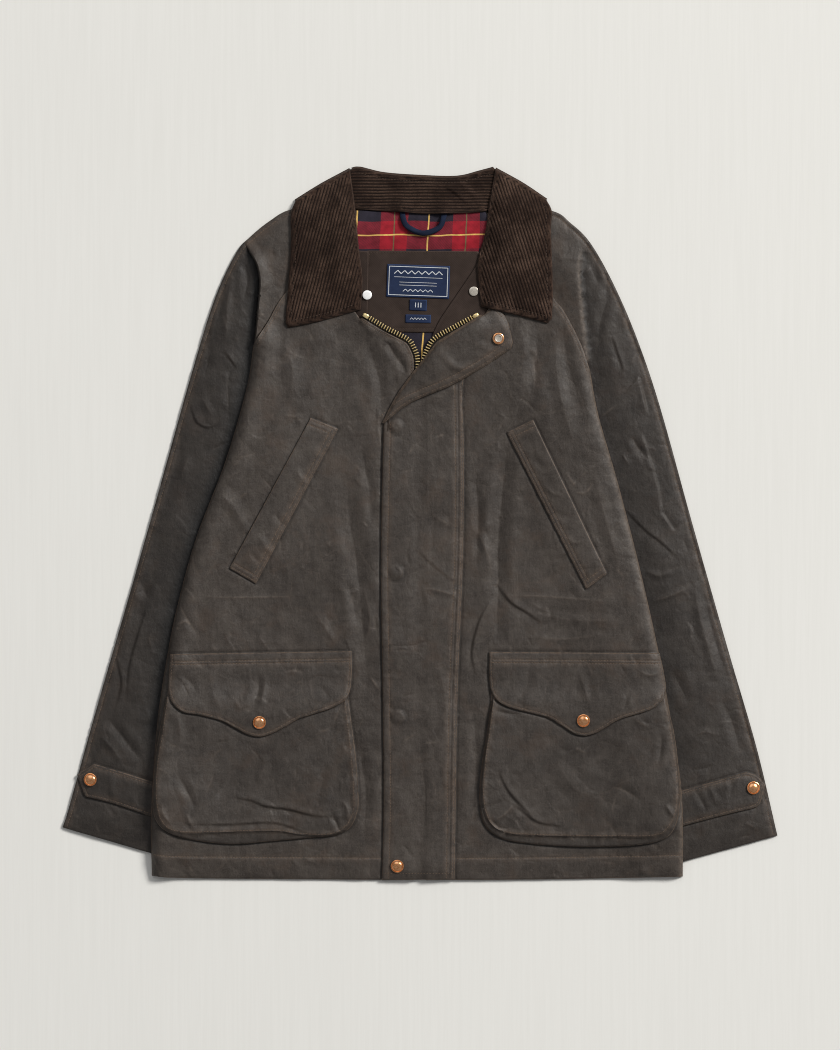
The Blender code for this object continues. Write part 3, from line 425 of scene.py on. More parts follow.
        Crease([(302, -291), (308, -302), (315, -316)], 0.7, 5, -1, 0.1),
        Crease([(318, -286), (322, -298), (326, -308)], 0.6, 5, 1, 0.1),
        Crease([(341, -278), (342, -288), (340, -300)], 0.6, 5, -1, 0.1),
    ],
    "back": [
        Crease([(-120, 200), (-60, 120), (-40, 20)], 1.0, 18, 1, 0.1),
        Crease([(110, 180), (70, 80), (60, -40)], 1.0, 16, -1, 0.1),
        Crease([(-60, -120), (0, -160), (70, -150)], 0.8, 14, 1, 0.2),
    ],
    "collar_right": [
        Crease([(-118, 250), (-100, 262), (-86, 280)], 0.9, 5, 1, 0.0),
        Crease([(-128, 330), (-110, 300), (-96, 250)], 0.9, 14, -1, 0.0),
    ],
    "collar_left": [
        Crease([(84, 258), (104, 276), (128, 290)], 0.9, 6, 1, 0.0),
        Crease([(120, 340), (108, 300), (92, 262)], 0.9, 14, -1, 0.0),
    ],
    "stand": [
        Crease([(26, 371), (38, 364), (50, 352)], 1.2, 5, 0, 0.0),
        Crease([(44, 378), (54, 366), (66, 358)], 0.9, 5, 1, 0.0),
        Crease([(-40, 380), (-30, 368), (-34, 352)], 0.6, 8, -1, 0.0),
    ],
}


# ---- curves and outlines, in plan ----

def through(points, step):
    """A smooth curve through the points, given as points about a step apart."""
    knots = np.array(points, float)
    if len(knots) == 2:
        count = max(1, round(float(np.linalg.norm(knots[1] - knots[0])) / step))
        return [tuple(knots[0] + (knots[1] - knots[0]) * i / count) for i in range(count + 1)]
    ends = np.vstack([2 * knots[0] - knots[1], knots, 2 * knots[-1] - knots[-2]])
    out = [tuple(knots[0])]
    for before, start, end, after in zip(ends[:-3], ends[1:-2], ends[2:-1], ends[3:]):
        count = max(1, round(float(np.linalg.norm(end - start)) / step))
        for i in range(1, count + 1):
            t = i / count
            out.append(tuple(0.5 * (2 * start + (end - before) * t
                                    + (2 * before - 5 * start + 4 * end - after) * t * t
                                    + (3 * start - before - 3 * end + after) * t ** 3)))
    return out


def outline_of(edges, step):
    """One closed, anticlockwise outline from edges that follow each other."""
    points = []
    for edge in edges:
        for point in through(edge, step):
            if not points or math.dist(points[-1], point) > 0.4:
                points.append(point)
    if math.dist(points[0], points[-1]) < 0.4:
        points.pop()
    return points if area_of(points) > 0 else points[::-1]


def area_of(points):
    """The area inside a closed outline: positive where it runs anticlockwise."""
    return sum(a[0] * b[1] - b[0] * a[1] for a, b in zip(points, points[1:] + points[:1])) / 2


def moved(points, dx):
    return [(x + dx, y) for x, y in points]


def mirrored(points):
    return [(-x, y) for x, y in points]


def beside(points, distance):
    """The same line moved sideways by the distance: to its left where that is positive."""
    line = np.array(points, float)
    along = np.gradient(line, axis=0)
    across = np.stack([-along[:, 1], along[:, 0]], axis=1)
    across /= np.linalg.norm(across, axis=1, keepdims=True)
    return [tuple(point) for point in line + across * distance]


def inset(outline, distance):
    """A closed, anticlockwise outline moved inwards, as loose points."""
    loop = np.array(outline)
    along = np.roll(loop, -1, axis=0) - np.roll(loop, 1, axis=0)
    inward = np.stack([-along[:, 1], along[:, 0]], axis=1)
    inward /= np.linalg.norm(inward, axis=1, keepdims=True)
    ring = loop + inward * distance
    return ring[nearest(ring, outline, closed=True)[0] > 0.9 * distance]


def around(edges, distance=1.0):
    """A line just outside a closed outline: where the cloth below is pulled down along a sewn edge, with
    painted shade beside it.
    """
    outline = outline_of(edges, 6)
    return beside(outline + outline[:1], -distance)


def rectangle(x, y, width, height, turn):
    c, s = math.cos(math.radians(turn)), math.sin(math.radians(turn))
    corners = [(-0.5, -0.5), (0.5, -0.5), (0.5, 0.5), (-0.5, 0.5), (-0.5, -0.5)]
    placed = [(x + c * u * width - s * v * height, y + s * u * width + c * v * height) for u, v in corners]
    return [[a, b] for a, b in zip(placed, placed[1:])]


def nearest(points, line, closed=False, block=4000):
    """For each point: its distance from the line, how far along it that is, and the side, 1 for the left."""
    starts = np.array(line, float)
    ends = np.roll(starts, -1, axis=0)
    if not closed:
        starts, ends = starts[:-1], ends[:-1]
    along = ends - starts
    lengths = np.linalg.norm(along, axis=1)
    before = np.concatenate([[0.0], np.cumsum(lengths)[:-1]])
    distances, places, sides = [], [], []
    for first in range(0, len(points), block):
        some = points[first:first + block]
        offset = some[:, None, :] - starts[None, :, :]
        share = np.clip((offset * along).sum(2) / (lengths ** 2), 0, 1)
        gaps = np.linalg.norm(offset - share[:, :, None] * along, axis=2)
        best = gaps.argmin(axis=1)
        row = np.arange(len(some))
        distances.append(gaps[row, best])
        places.append(before[best] + share[row, best] * lengths[best])
        sides.append(np.sign(along[best, 0] * offset[row, best, 1] - along[best, 1] * offset[row, best, 0]))
    return np.concatenate(distances), np.concatenate(places), np.concatenate(sides)


def inside(points, outline, block=4000):
    """Which points are inside a closed outline."""
    corners = np.array(outline, float)
    nexts = np.roll(corners, -1, axis=0)
    rise = np.where(nexts[:, 1] == corners[:, 1], 1.0, nexts[:, 1] - corners[:, 1])
    out = []
    for first in range(0, len(points), block):
        x, y = points[first:first + block, 0:1], points[first:first + block, 1:2]
        spans = (corners[:, 1] > y) != (nexts[:, 1] > y)
        crossing = corners[:, 0] + (y - corners[:, 1]) / rise * (nexts[:, 0] - corners[:, 0])
        out.append((spans & (x < crossing)).sum(axis=1) % 2 == 1)
    return np.concatenate(out)


# ---- relief of the cloth, mm ----

def fade(share):
    """A smooth rise from 0 to 1, as the share does."""
    return share ** 3 * (share * (share * 6 - 15) + 10)


def past(distance, start, over):
    """0 up to the start, rising smoothly to 1 over the stretch after it."""
    return fade(np.clip((distance - start) / over, 0, 1))


def bell(distance, width):
    """1 at no distance, falling smoothly to nothing at about twice the width."""
    return np.exp(-(distance / width) ** 2)


def noise(points, wavelength, seed):
    """Smooth noise from -1 to 1, with features about a wavelength across."""
    lattice = np.random.default_rng(seed).uniform(-1, 1, (256, 256))
    turn = 0.6 + seed
    turned = points @ np.array([[math.cos(turn), -math.sin(turn)], [math.sin(turn), math.cos(turn)]])
    spot = turned / wavelength + 1000.0
    cell = np.floor(spot).astype(int)
    u, v = fade(spot - cell).T
    i, j = (cell % 255).T
    low = lattice[j, i] * (1 - u) + lattice[j, i + 1] * u
    high = lattice[j + 1, i] * (1 - u) + lattice[j + 1, i + 1] * u
    return low * (1 - v) + high * v


def limpness(points, seed, strength=1.0):
    """The uneven surface of heavy cloth that has been handled: broad waves with smaller dents on them."""
    broad = 0.60 * noise(points, 75, seed) + 0.42 * noise(points, 34, seed + 1)
    dents = 0.20 * noise(points, 16, seed + 2) + 0.09 * noise(points, 9, seed + 3)
    return strength * (broad + dents)


def crease_relief(points, creases):
    """Height and wax mark of the creases at each point."""
    height, mark = np.zeros(len(points)), np.zeros(len(points))
    for crease in creases:
        line = through(crease.points, 4)
        width = CREASE_WIDTH * crease.width
        reach = 3.2 * width
        corners = np.array(line)
        near = ((points > corners.min(axis=0) - reach) & (points < corners.max(axis=0) + reach)).all(axis=1)
        if not near.any():
            continue
        away, along, side = nearest(points[near], line)
        length = sum(math.dist(a, b) for a, b in zip(line, line[1:]))
        ends = np.sin(np.pi * np.clip(along / length, 0, 1)) ** 0.7
        x = away / width
        if crease.shape:
            form = 0.6 * np.exp(-x ** 2) + 0.4 * np.exp(-1.8 * x) - 0.35 * bell(x - 1.7, 0.8)
            form *= crease.shape
        else:
            form = side * np.tanh(away / 1.3) * np.exp(-x ** 1.4)
        height[near] += CREASE_DEPTH * crease.depth * form * ends
        mark[near] += crease.wax * bell(away, 1.2) * ends
    return height, mark


def handling_creases(outline, seed):
    """Small creases from folding and wearing, short and uneven, scattered over a piece."""
    random = np.random.default_rng(seed)
    low, high = np.min(outline, axis=0), np.max(outline, axis=0)
    count = int(area_of(outline) / AREA_PER_CREASE)
    centres = random.uniform(low, high, (4 * count, 2))
    centres = centres[inside(centres, outline)][:count]
    creases = []
    for x, y in centres:
        angle, length = random.uniform(0, math.pi), min(46.0, random.lognormal(2.6, 0.5))
        bow = random.normal(0, 0.16) * length
        c, s = math.cos(angle) * length / 2, math.sin(angle) * length / 2
        middle = (x - s * bow / length, y + c * bow / length)
        depth, width = random.uniform(0.10, 0.42), random.uniform(2.2, 6.0)
        shape = int(random.choice([-1, 1, 0]))
        wax = max(0.0, random.normal(0.12, 0.20))
        creases.append(Crease([(x - c, y - s), middle, (x + c, y + s)], depth, width, shape, wax))
    return creases


# ---- the pile of layers ----

STEP = 1.0  # raster cell, mm
HALF = 420.0  # the raster's reach from the origin, mm
CELLS = int(2 * HALF / STEP) + 1


def widened(field, reach):
    """The field, each cell raised to the highest within reach cells along X and Y."""
    for axis in (0, 1):
        out = field.copy()
        for shift in range(1, reach + 1):
            out = np.maximum(out, np.maximum(np.roll(field, shift, axis), np.roll(field, -shift, axis)))
        field = out
    return field


def blurred(field, width):
    """A Gaussian blur; the raster's rim is empty, so nothing wraps round."""
    waves = np.fft.rfftfreq(CELLS), np.fft.fftfreq(CELLS)[:, None]
    damping = np.exp(-2 * (np.pi * width) ** 2 * (waves[0] ** 2 + waves[1] ** 2))
    return np.fft.irfft2(np.fft.rfft2(field) * damping, s=field.shape)


def sample(field, points):
    """The field's values at the points, between its cells."""
    spot = (points + HALF) / STEP
    cell = np.floor(spot).astype(int)
    u, v = (spot - cell).T
    i, j = cell.T
    low = field[j, i] * (1 - u) + field[j, i + 1] * u
    high = field[j + 1, i] * (1 - u) + field[j + 1, i + 1] * u
    return low * (1 - v) + high * v


def cell_of(points):
    """The row and column of the raster cell nearest to each point."""
    columns, rows = np.round((points + HALF) / STEP).astype(int).T
    return rows, columns


def cross(a, b):
    """The cross product of plan vectors, row by row."""
    return a[:, 0] * b[:, 1] - a[:, 1] * b[:, 0]


def cells_under(points, triangles):
    """Every raster cell under a net: its row and column, its triangle and its shares of the three corners."""
    corners = points[triangles]
    low = np.ceil((corners.min(axis=1) + HALF) / STEP).astype(int)
    reach = int(np.ceil((corners.max(axis=1) - corners.min(axis=1)).max() / STEP)) + 1
    a, b, c = corners[:, 0], corners[:, 1], corners[:, 2]
    area = cross(b - a, c - a)
    found = []
    for j in range(reach):
        for i in range(reach):
            cell = low + (i, j)
            spot = cell * STEP - HALF
            second = cross(spot - a, c - a) / area
            third = cross(b - a, spot - a) / area
            shares = np.stack([1 - second - third, second, third], axis=1)
            keep = shares.min(axis=1) > -1e-4
            found.append((cell[keep, 1], cell[keep, 0], np.nonzero(keep)[0], shares[keep]))
    return [np.concatenate(part) for part in zip(*found)]


class Layer:
    """One layer of cloth in plan: its outline, the net of triangles inside it and the heights of its faces.

    The net has extra points beside the rim, seams, grooves and creases. name picks the layer's row of
    CREASES, and worn is the seed of its small creases. across makes the net finer across its grain.
    """

    RAILS = (-2.4, -1.0, 0.0, 1.0, 2.4)  # how far to each side of a seam or groove the net has points
    LINE_STEP = 3.0
    LEAST_SPACE = 0.4  # between the net's points and the outline
    FAR = 60.0  # a distance that stands for any longer one

    def __init__(self, edges, net, thickness, grain=0.0, across=None, seams=(), grooves=(),
                 rim=(0.5, 1.3, 2.6), name="", worn=None):
        self.outline = outline_of(edges, min(net, 4.0))
        self.thickness = thickness
        self.seams = [through(line, self.LINE_STEP) for line in seams]
        self.creases = list(CREASES.get(name, ()))
        if worn is not None:
            self.creases += handling_creases(self.outline, worn)
        grooves = [through(line, self.LINE_STEP) for line in grooves]
        rows = [inset(self.outline, distance) for distance in rim]
        for line in self.seams + grooves:
            rows += self.rails(line, self.RAILS)
        for crease in () if across else self.creases:
            width = min(self.RAILS[-1], CREASE_WIDTH * crease.width)
            rows += self.rails(through(crease.points, self.LINE_STEP), (-width, -1.0, 0.0, 1.0, width))
        self.points = self.spread(np.vstack(rows), net, across or net, grain, rim[-1])
        self.triangles = self.joined()
        self.depth = nearest(self.points, self.outline, closed=True)[0]
        self.seam, self.mark, self.painted_shade, self.relief, self.skin, self.wale = np.zeros((6, len(self.points)))
        self.seam += self.FAR
        for line in self.seams:
            self.seam = np.minimum(self.seam, self.away(line))
        for line in grooves:
            away = self.away(line)
            # Painted shade: beside a groove the cloth is darkened towards black, as well as pressed down
            self.skin -= GROOVE_DEPTH * bell(away, GROOVE_WIDTH)
            self.painted_shade = np.maximum(self.painted_shade, GROOVE_SHADE * bell(away, GROOVE_SHADE_WIDTH))
        self.fresh = 0.0  # how far the wear along its edges stays off it
        self.bottom = self.top = None

    def rails(self, line, distances):
        """Rows of points beside a line, where they are inside the outline."""
        rows = [np.array(beside(line, distance)) for distance in distances]
        return [row[inside(row, self.outline)] for row in rows]

    def spread(self, extra, along, across, grain, rim):
        """The outline's points, then the extra ones, then an even grid that fills what they leave."""
        corners = np.array(self.outline)
        extra = extra[nearest(extra, self.outline, closed=True)[0] > self.LEAST_SPACE]
        extra = self.thinned(extra, 0.6)
        grid = self.grid(corners, along, across, grain)
        grid = grid[inside(grid, self.outline)]
        clear = rim + 0.45 * min(along, 4.0)
        grid = grid[nearest(grid, self.outline, closed=True)[0] > clear]
        taken = np.zeros((CELLS, CELLS))
        taken[cell_of(extra)] = 1
        grid = grid[widened(taken, 1)[cell_of(grid)] == 0]
        return np.vstack([corners, extra, grid])

    def joined(self):
        """The triangles between the points, inside the outline."""
        count = len(self.outline)
        loop = [(i, (i + 1) % count) for i in range(count)]
        made = delaunay_2d_cdt([Vector(point) for point in self.points], loop, [], 1, 1e-6)
        if len(made[0]) != len(self.points):
            raise ValueError(f"the outline from {self.outline[0]} crosses itself")
        return np.array([face for face in made[2]])

    @staticmethod
    def thinned(points, spacing):
        """The points, without any that is nearer than the spacing to an earlier one."""
        cells = np.round(points / spacing).astype(int)
        first = np.unique(cells, axis=0, return_index=True)[1]
        return points[np.sort(first)]

    @staticmethod
    def grid(corners, along, across, grain):
        """Staggered rows over the outline's box, with the grain turned anticlockwise from Y, in degrees."""
        turn = math.radians(grain)
        warp = np.array([-math.sin(turn), math.cos(turn)])
        weft = np.array([math.cos(turn), math.sin(turn)])
        u, v = corners @ weft, corners @ warp
        columns = np.arange(u.min(), u.max(), across)
        rows = np.arange(v.min(), v.max(), along)
        a, b = np.meshgrid(columns, rows)
        a = a + (np.arange(len(rows)) % 2)[:, None] * across / 2
        return a.reshape(-1, 1) * weft + b.reshape(-1, 1) * warp

    def crease(self):
        """Put the layer's creases in its relief, and their broken wax in its marks."""
        height, mark = crease_relief(self.points, self.creases)
        self.relief += height
        self.mark = np.minimum(self.mark + mark, 0.8)

    def away(self, line):
        """How far each point is from a line."""
        return nearest(self.points, line)[0]

    def roll(self, line, radius, drop):
        """Turn the cloth down towards a line in its outline, as over a soft fold."""
        share = np.clip(1 - self.away(through(line, 4)) / radius, 0, 1)
        self.relief -= drop * (1 - np.sqrt(1 - share ** 2 + 1e-9))

    def pucker(self, line, reach, size, seed):
        """Small ripples across a seam that pulls the cloth up a little."""
        away, along = nearest(self.points, through(line, 3))[:2]
        ripple = noise(np.stack([along, np.zeros(len(along))], axis=1), 6.5, seed)
        self.skin += size * ripple * bell(away, reach)


class Pile:
    """The height of everything laid so far, on a square raster, mm."""

    def __init__(self):
        self.heights = np.zeros((CELLS, CELLS))

    def lay(self, layer, loft=0.0, rise=40.0, reach=3, drape=4.0, edge_radius=1.3):
        """Rest the layer on the pile and keep every triangle clear of what is under it.

        The layer bridges what is under it over reach and drape, and stands up by the loft where it is a rise
        away from its edges, which are rounded.
        """
        near = widened(self.heights, 1)
        floor = np.where(near > 0, near + GAP, 0.0)
        cloth = blurred(widened(self.heights, reach), drape) + GAP * (near > 0)
        base = sample(np.maximum(cloth, floor), layer.points)
        share = np.clip(layer.depth / rise, 0, 1)
        lift = loft * share * (2 - share) + layer.relief
        layer.bottom = np.maximum(base + lift, sample(floor, layer.points))
        rows, columns, owner, shares = cells_under(layer.points, layer.triangles)
        corners = layer.triangles[owner]
        short = floor[rows, columns] - (shares * layer.bottom[corners]).sum(axis=1)
        raised = np.zeros(len(layer.points))
        for k in range(3):
            np.maximum.at(raised, corners[:, k], short)
        layer.bottom += raised
        near_edge = np.clip(1 - layer.depth / edge_radius, 0, 1)
        rounding = 0.8 * layer.thickness * (1 - np.sqrt(1 - near_edge ** 2 + 1e-9))
        sunk = SEAM_DEPTH * bell(layer.seam, SEAM_WIDTH)
        height = np.maximum(layer.thickness + layer.skin - rounding - sunk, LEAST_THICKNESS)
        layer.top = layer.bottom + height
        tops = (shares * layer.top[corners]).sum(axis=1)
        np.maximum.at(self.heights, (rows, columns), tops)
        return layer

    @staticmethod
    def disc(x, y, radius):
        axis = np.arange(CELLS) * STEP - HALF
        return (axis[None, :] - x) ** 2 + (axis[:, None] - y) ** 2 < radius ** 2

    def highest(self, x, y, radius):
        return float(self.heights[self.disc(x, y, radius)].max())

    def raise_disc(self, x, y, radius, height):
        """Count something small and round as laid, up to a height."""
        near = self.disc(x, y, radius)
        self.heights[near] = np.maximum(self.heights[near], height)

    def height(self, points):
        return sample(self.heights, np.array(points, float))


# ---- materials ----

class Look:
    """A material with a Principled shader, and a short way to add nodes to it."""

    def __init__(self, name):
        self.material = bpy.data.materials.new(name)
        self.material.use_nodes = True
        self.tree = self.material.node_tree
        self.shader = self.tree.nodes["Principled BSDF"]

    def add(self, kind, values=(), **settings):
        node = self.tree.nodes.new(kind)
        for key, value in settings.items():
            setattr(node, key, value)
        for key, value in dict(values).items():
            self.put(node.inputs[key], value)
        return node

    def put(self, socket, value):
        if isinstance(value, bpy.types.NodeSocket):
            self.tree.links.new(value, socket)
        else:
            socket.default_value = value

    def math(self, operation, *values):
        return self.add("ShaderNodeMath", enumerate(values), operation=operation).outputs[0]

    def place(self, scale=(1, 1, 1), turn=0.0):
        """Object coordinates, turned about Z and scaled."""
        coordinates = self.add("ShaderNodeTexCoord").outputs["Object"]
        mapping = self.add("ShaderNodeMapping", {"Vector": coordinates})
        mapping.inputs["Scale"].default_value = scale
        mapping.inputs["Rotation"].default_value = (0, 0, math.radians(turn))
        return mapping.outputs[0]

    def sum(self, parts):
        """The sum of some values, each times its weight."""
        total = 0.0
        for value, weight in parts:
            total = self.math("MULTIPLY_ADD", value, weight, total)
        return total

    def warped(self, vector, scale, amount):
        """The coordinates, pushed about by up to half the amount."""
        values = {"Vector": vector, "Scale": scale, "Detail": 3.0}
        push = self.add("ShaderNodeTexNoise", values).outputs["Color"]
        values = {0: push, 1: (amount, amount, 0.0), 2: vector}
        return self.add("ShaderNodeVectorMath", values, operation="MULTIPLY_ADD").outputs[0]

    def noise(self, vector, scale, detail=3.0, roughness=0.55):
        values = {"Vector": vector, "Scale": scale, "Detail": detail, "Roughness": roughness}
        return self.add("ShaderNodeTexNoise", values).outputs["Fac"]

    def ramp(self, value, low, high, out_low=0.0, out_high=1.0):
        values = {"Value": value, "From Min": low, "From Max": high, "To Min": out_low, "To Max": out_high}
        return self.add("ShaderNodeMapRange", values, interpolation_type="SMOOTHSTEP").outputs[0]

    def voronoi_edges(self, vector, scale):
        """The distance from the nearest edge of a net of cells."""
        values = {"Vector": vector, "Scale": scale}
        return self.add("ShaderNodeTexVoronoi", values, feature="DISTANCE_TO_EDGE").outputs["Distance"]

    def grey(self, value):
        return self.add("ShaderNodeCombineColor", {0: value, 1: value, 2: value}).outputs[0]

    def mix(self, share, first, second, blend="MIX"):
        node = self.add("ShaderNodeMix", data_type="RGBA", blend_type=blend)
        for key, value in (("Factor_Float", share), ("A_Color", first), ("B_Color", second)):
            socket = next(s for s in node.inputs if s.identifier == key)
            if not isinstance(value, bpy.types.NodeSocket) and key != "Factor_Float":
                value = (*value, 1.0) if len(value) == 3 else value
            self.put(socket, value)
        return next(s for s in node.outputs if s.identifier == "Result_Color")

    def attribute(self, name):
        return self.add("ShaderNodeAttribute", attribute_name=name).outputs["Fac"]

    def bump(self, height, distance, strength=1.0, normal=None):
        node = self.add("ShaderNodeBump", {"Height": height, "Distance": distance, "Strength": strength})
        if normal is not None:
            self.put(node.inputs["Normal"], normal)
        return node.outputs[0]

    def finish(self, colour, roughness, normal=None, **more):
        self.put(self.shader.inputs["Base Color"], (*colour, 1.0) if isinstance(colour, tuple) else colour)
        self.put(self.shader.inputs["Roughness"], roughness)
        if normal is not None:
            self.put(self.shader.inputs["Normal"], normal)
        for key, value in more.items():
            self.put(self.shader.inputs[key.replace("_", " ")], value)
        return self.material


# Colours of waxed cotton, linear; WAX_SHADE is the near black that painted shade goes towards
WAX_DARK, WAX_PALE = (0.0245, 0.0186, 0.0150), (0.0690, 0.0568, 0.0475)
WAX_RUST, WAX_BROKEN = (0.064, 0.042, 0.029), (0.125, 0.098, 0.078)
WAX_WORN, WAX_SHADE = (0.122, 0.085, 0.061), (0.0065, 0.0058, 0.0054)


def wax_wear(look, flat):
    """How far the wax is rubbed off: along edges and seams, and faintly in a band beside each seam."""
    broken = look.ramp(look.noise(flat, 170.0, 4.0, 0.75), 0.34, 0.58)
    rim = look.math("MULTIPLY", look.ramp(look.attribute("edge"), 0.3, 1.7, 1.0, 0.0), 0.72)
    seam = look.math("MULTIPLY", look.ramp(look.attribute("seam"), 0.3, 1.7, 1.0, 0.0), 0.42)
    band = look.math("MULTIPLY", look.ramp(look.attribute("seam"), 1.0, 6.5, 1.0, 0.0), 0.20)
    wear = look.math("MAXIMUM", look.math("MAXIMUM", rim, seam), band)
    return look.math("MULTIPLY", wear, broken)


def wax_tone(look, flat, turn):
    """Blotches, slubs along both yarns and a fine grain, in one value."""
    warp, weft = look.place(scale=(14, 1, 1), turn=turn), look.place(scale=(1, 12, 1), turn=turn)
    return look.sum(((look.noise(flat, 9.0, 5.0, 0.60), 0.24), (look.noise(flat, 58.0, 6.0, 0.68), 0.46),
                     (look.noise(warp, 45.0, 3.0, 0.6), 0.13), (look.noise(weft, 50.0, 3.0, 0.6), 0.10),
                     (look.noise(flat, 900.0, 2.0, 0.7), 0.36)))


def waxed_cotton(name, turn=0.0):
    """Waxed cotton: blotches of wax, slubs along the warp, pale cracks and marks, brown wear on edges and
    seams, and painted shade. The pale marks along the folds that face the light are partly a painted
    highlight.
    """
    look = Look(name)
    flat = look.place(turn=turn)
    colour = look.mix(look.ramp(wax_tone(look, flat, turn), 0.455, 0.835), WAX_DARK, WAX_PALE)
    rust = look.ramp(look.noise(flat, 26.0, 5.0, 0.68), 0.50, 0.70)
    colour = look.mix(look.math("MULTIPLY", rust, 0.40), colour, WAX_RUST)
    bent = look.warped(flat, 30.0, 0.022)
    wide, close = look.voronoi_edges(bent, 13.0), look.voronoi_edges(bent, 31.0)
    patchy = look.ramp(look.noise(flat, 20.0, 3.0), 0.50, 0.66)
    elsewhere = look.ramp(look.noise(flat, 24.0, 3.0), 0.42, 0.58, 1.0, 0.0)
    crack = look.math("MULTIPLY", look.ramp(wide, 0.0, 0.014, 1.0, 0.0), patchy)
    hair = look.math("MULTIPLY", look.ramp(close, 0.0, 0.022, 1.0, 0.0), elsewhere)
    crack = look.math("MULTIPLY", look.math("MAXIMUM", crack, hair), 0.13)
    scratch = look.ramp(look.noise(look.place(scale=(1, 16, 1), turn=turn + 38), 50.0, 2.0), 0.64, 0.74)
    crack = look.math("MAXIMUM", crack, look.math("MULTIPLY", scratch, 0.10))
    uneven = look.ramp(look.noise(flat, 240.0, 3.0), 0.35, 0.65, 0.3, 1.0)
    mark = look.math("MULTIPLY", look.attribute("mark"), uneven)
    colour = look.mix(look.math("MAXIMUM", crack, mark), colour, WAX_BROKEN)
    # Painted shade: darker towards WAX_SHADE by each point's share of painted shade
    colour = look.mix(look.attribute("painted_shade"), colour, WAX_SHADE)
    colour = look.mix(wax_wear(look, flat), colour, WAX_WORN)
    roughness = look.ramp(look.noise(flat, 60.0, 3.0), 0.3, 0.7, 0.60, 0.48)
    weave = look.sum(((look.noise(look.place(scale=(2.2, 1, 1), turn=turn), 1500.0, 1.0), 1.0),
                      (look.noise(look.place(scale=(1, 2.2, 1), turn=turn), 1500.0, 1.0), 1.0)))
    normal = look.bump(weave, 0.0003, 0.4)
    wide_fold = look.math("MULTIPLY", look.math("MINIMUM", wide, 0.10), patchy)
    close_fold = look.math("MULTIPLY", look.math("MINIMUM", close, 0.12), elsewhere)
    folds = look.sum(((wide_fold, 1.2), (close_fold, 0.8), (look.noise(flat, 45.0, 3.0, 0.6), 0.65),
                      (look.noise(look.place(scale=(2.0, 1, 1), turn=turn), 90.0, 3.0, 0.6), 0.34)))
    normal = look.bump(folds, 0.0030, 0.55, normal)
    return look.finish(colour, roughness, normal, Specular_IOR_Level=0.32)


# Colours of the corduroy's pile, linear, and of the painted shade between its wales
PILE_GROOVE_SHADE, PILE_DARK = (0.0075, 0.0040, 0.0030), (0.027, 0.0145, 0.0095)
PILE_PALE, PILE_WORN = (0.072, 0.043, 0.030), (0.085, 0.054, 0.040)


def corduroy(name):
    """Corduroy: painted shade between the wales, and a pile that is paler and rubbed on their crowns."""
    look = Look(name)
    flat = look.place()
    crown = look.ramp(look.attribute("wale"), 0.15, 0.95)
    rubbed = look.ramp(look.noise(flat, 34.0, 5.0, 0.72), 0.38, 0.66)
    pile = look.mix(rubbed, PILE_DARK, PILE_PALE)
    fuzz = look.ramp(look.noise(flat, 800.0, 3.0, 0.8), 0.28, 0.75, 0.50, 1.45)
    # Painted shade: the grooves between the wales go near black
    colour = look.mix(crown, PILE_GROOVE_SHADE, pile)
    colour = look.mix(1.0, colour, look.grey(fuzz), "MULTIPLY")
    rim = look.math("MULTIPLY", look.ramp(look.attribute("edge"), 0.0, 2.0, 1.0, 0.0), 0.35)
    colour = look.mix(rim, colour, PILE_WORN)
    normal = look.bump(look.noise(flat, 900.0, 3.0, 0.7), 0.0004, 0.6)
    return look.finish(colour, 0.92, normal, Specular_IOR_Level=0.15, Sheen_Weight=0.06, Sheen_Roughness=0.4)


TARTAN_REPEAT = 0.0793  # m, across and up
RED, NAVY_THREAD = (0.320, 0.0120, 0.0230), (0.0200, 0.0170, 0.0270)
YELLOW, GREEN = (0.780, 0.500, 0.140), (0.130, 0.135, 0.060)

# Tartan, in m: a band of red across and one up, and thin lines over them, once in each repeat
Band = namedtuple("Band", "middle half")
Line = namedtuple("Line", "along middle half strength colour")
WARP_RED, WEFT_RED = Band(0.0410, 0.0146), Band(0.0000, 0.0152)
TARTAN_LINES = [
    Line("warp", 0.0410, 0.00070, 0.75, GREEN),
    Line("weft", 0.0000, 0.00080, 0.85, YELLOW),
    Line("warp", 0.0000, 0.00085, 0.90, YELLOW),
]
TARTAN_ORIGIN = (0.0103, 0.3178)  # where two yellow lines cross
TARTAN_SLANT, TARTAN_LEVEL = 0.05, 0.342  # how far the warp leans, and the Y where that moves it by nothing


def banded(look, place_m, middle, half):
    """1 within half of the middle of each repeat, and 0 elsewhere."""
    offset = look.math("SUBTRACT", place_m, middle - 20.5 * TARTAN_REPEAT)
    share = look.math("FRACT", look.math("DIVIDE", offset, TARTAN_REPEAT))
    away = look.math("ABSOLUTE", look.math("SUBTRACT", share, 0.5))
    return look.math("LESS_THAN", away, half / TARTAN_REPEAT)


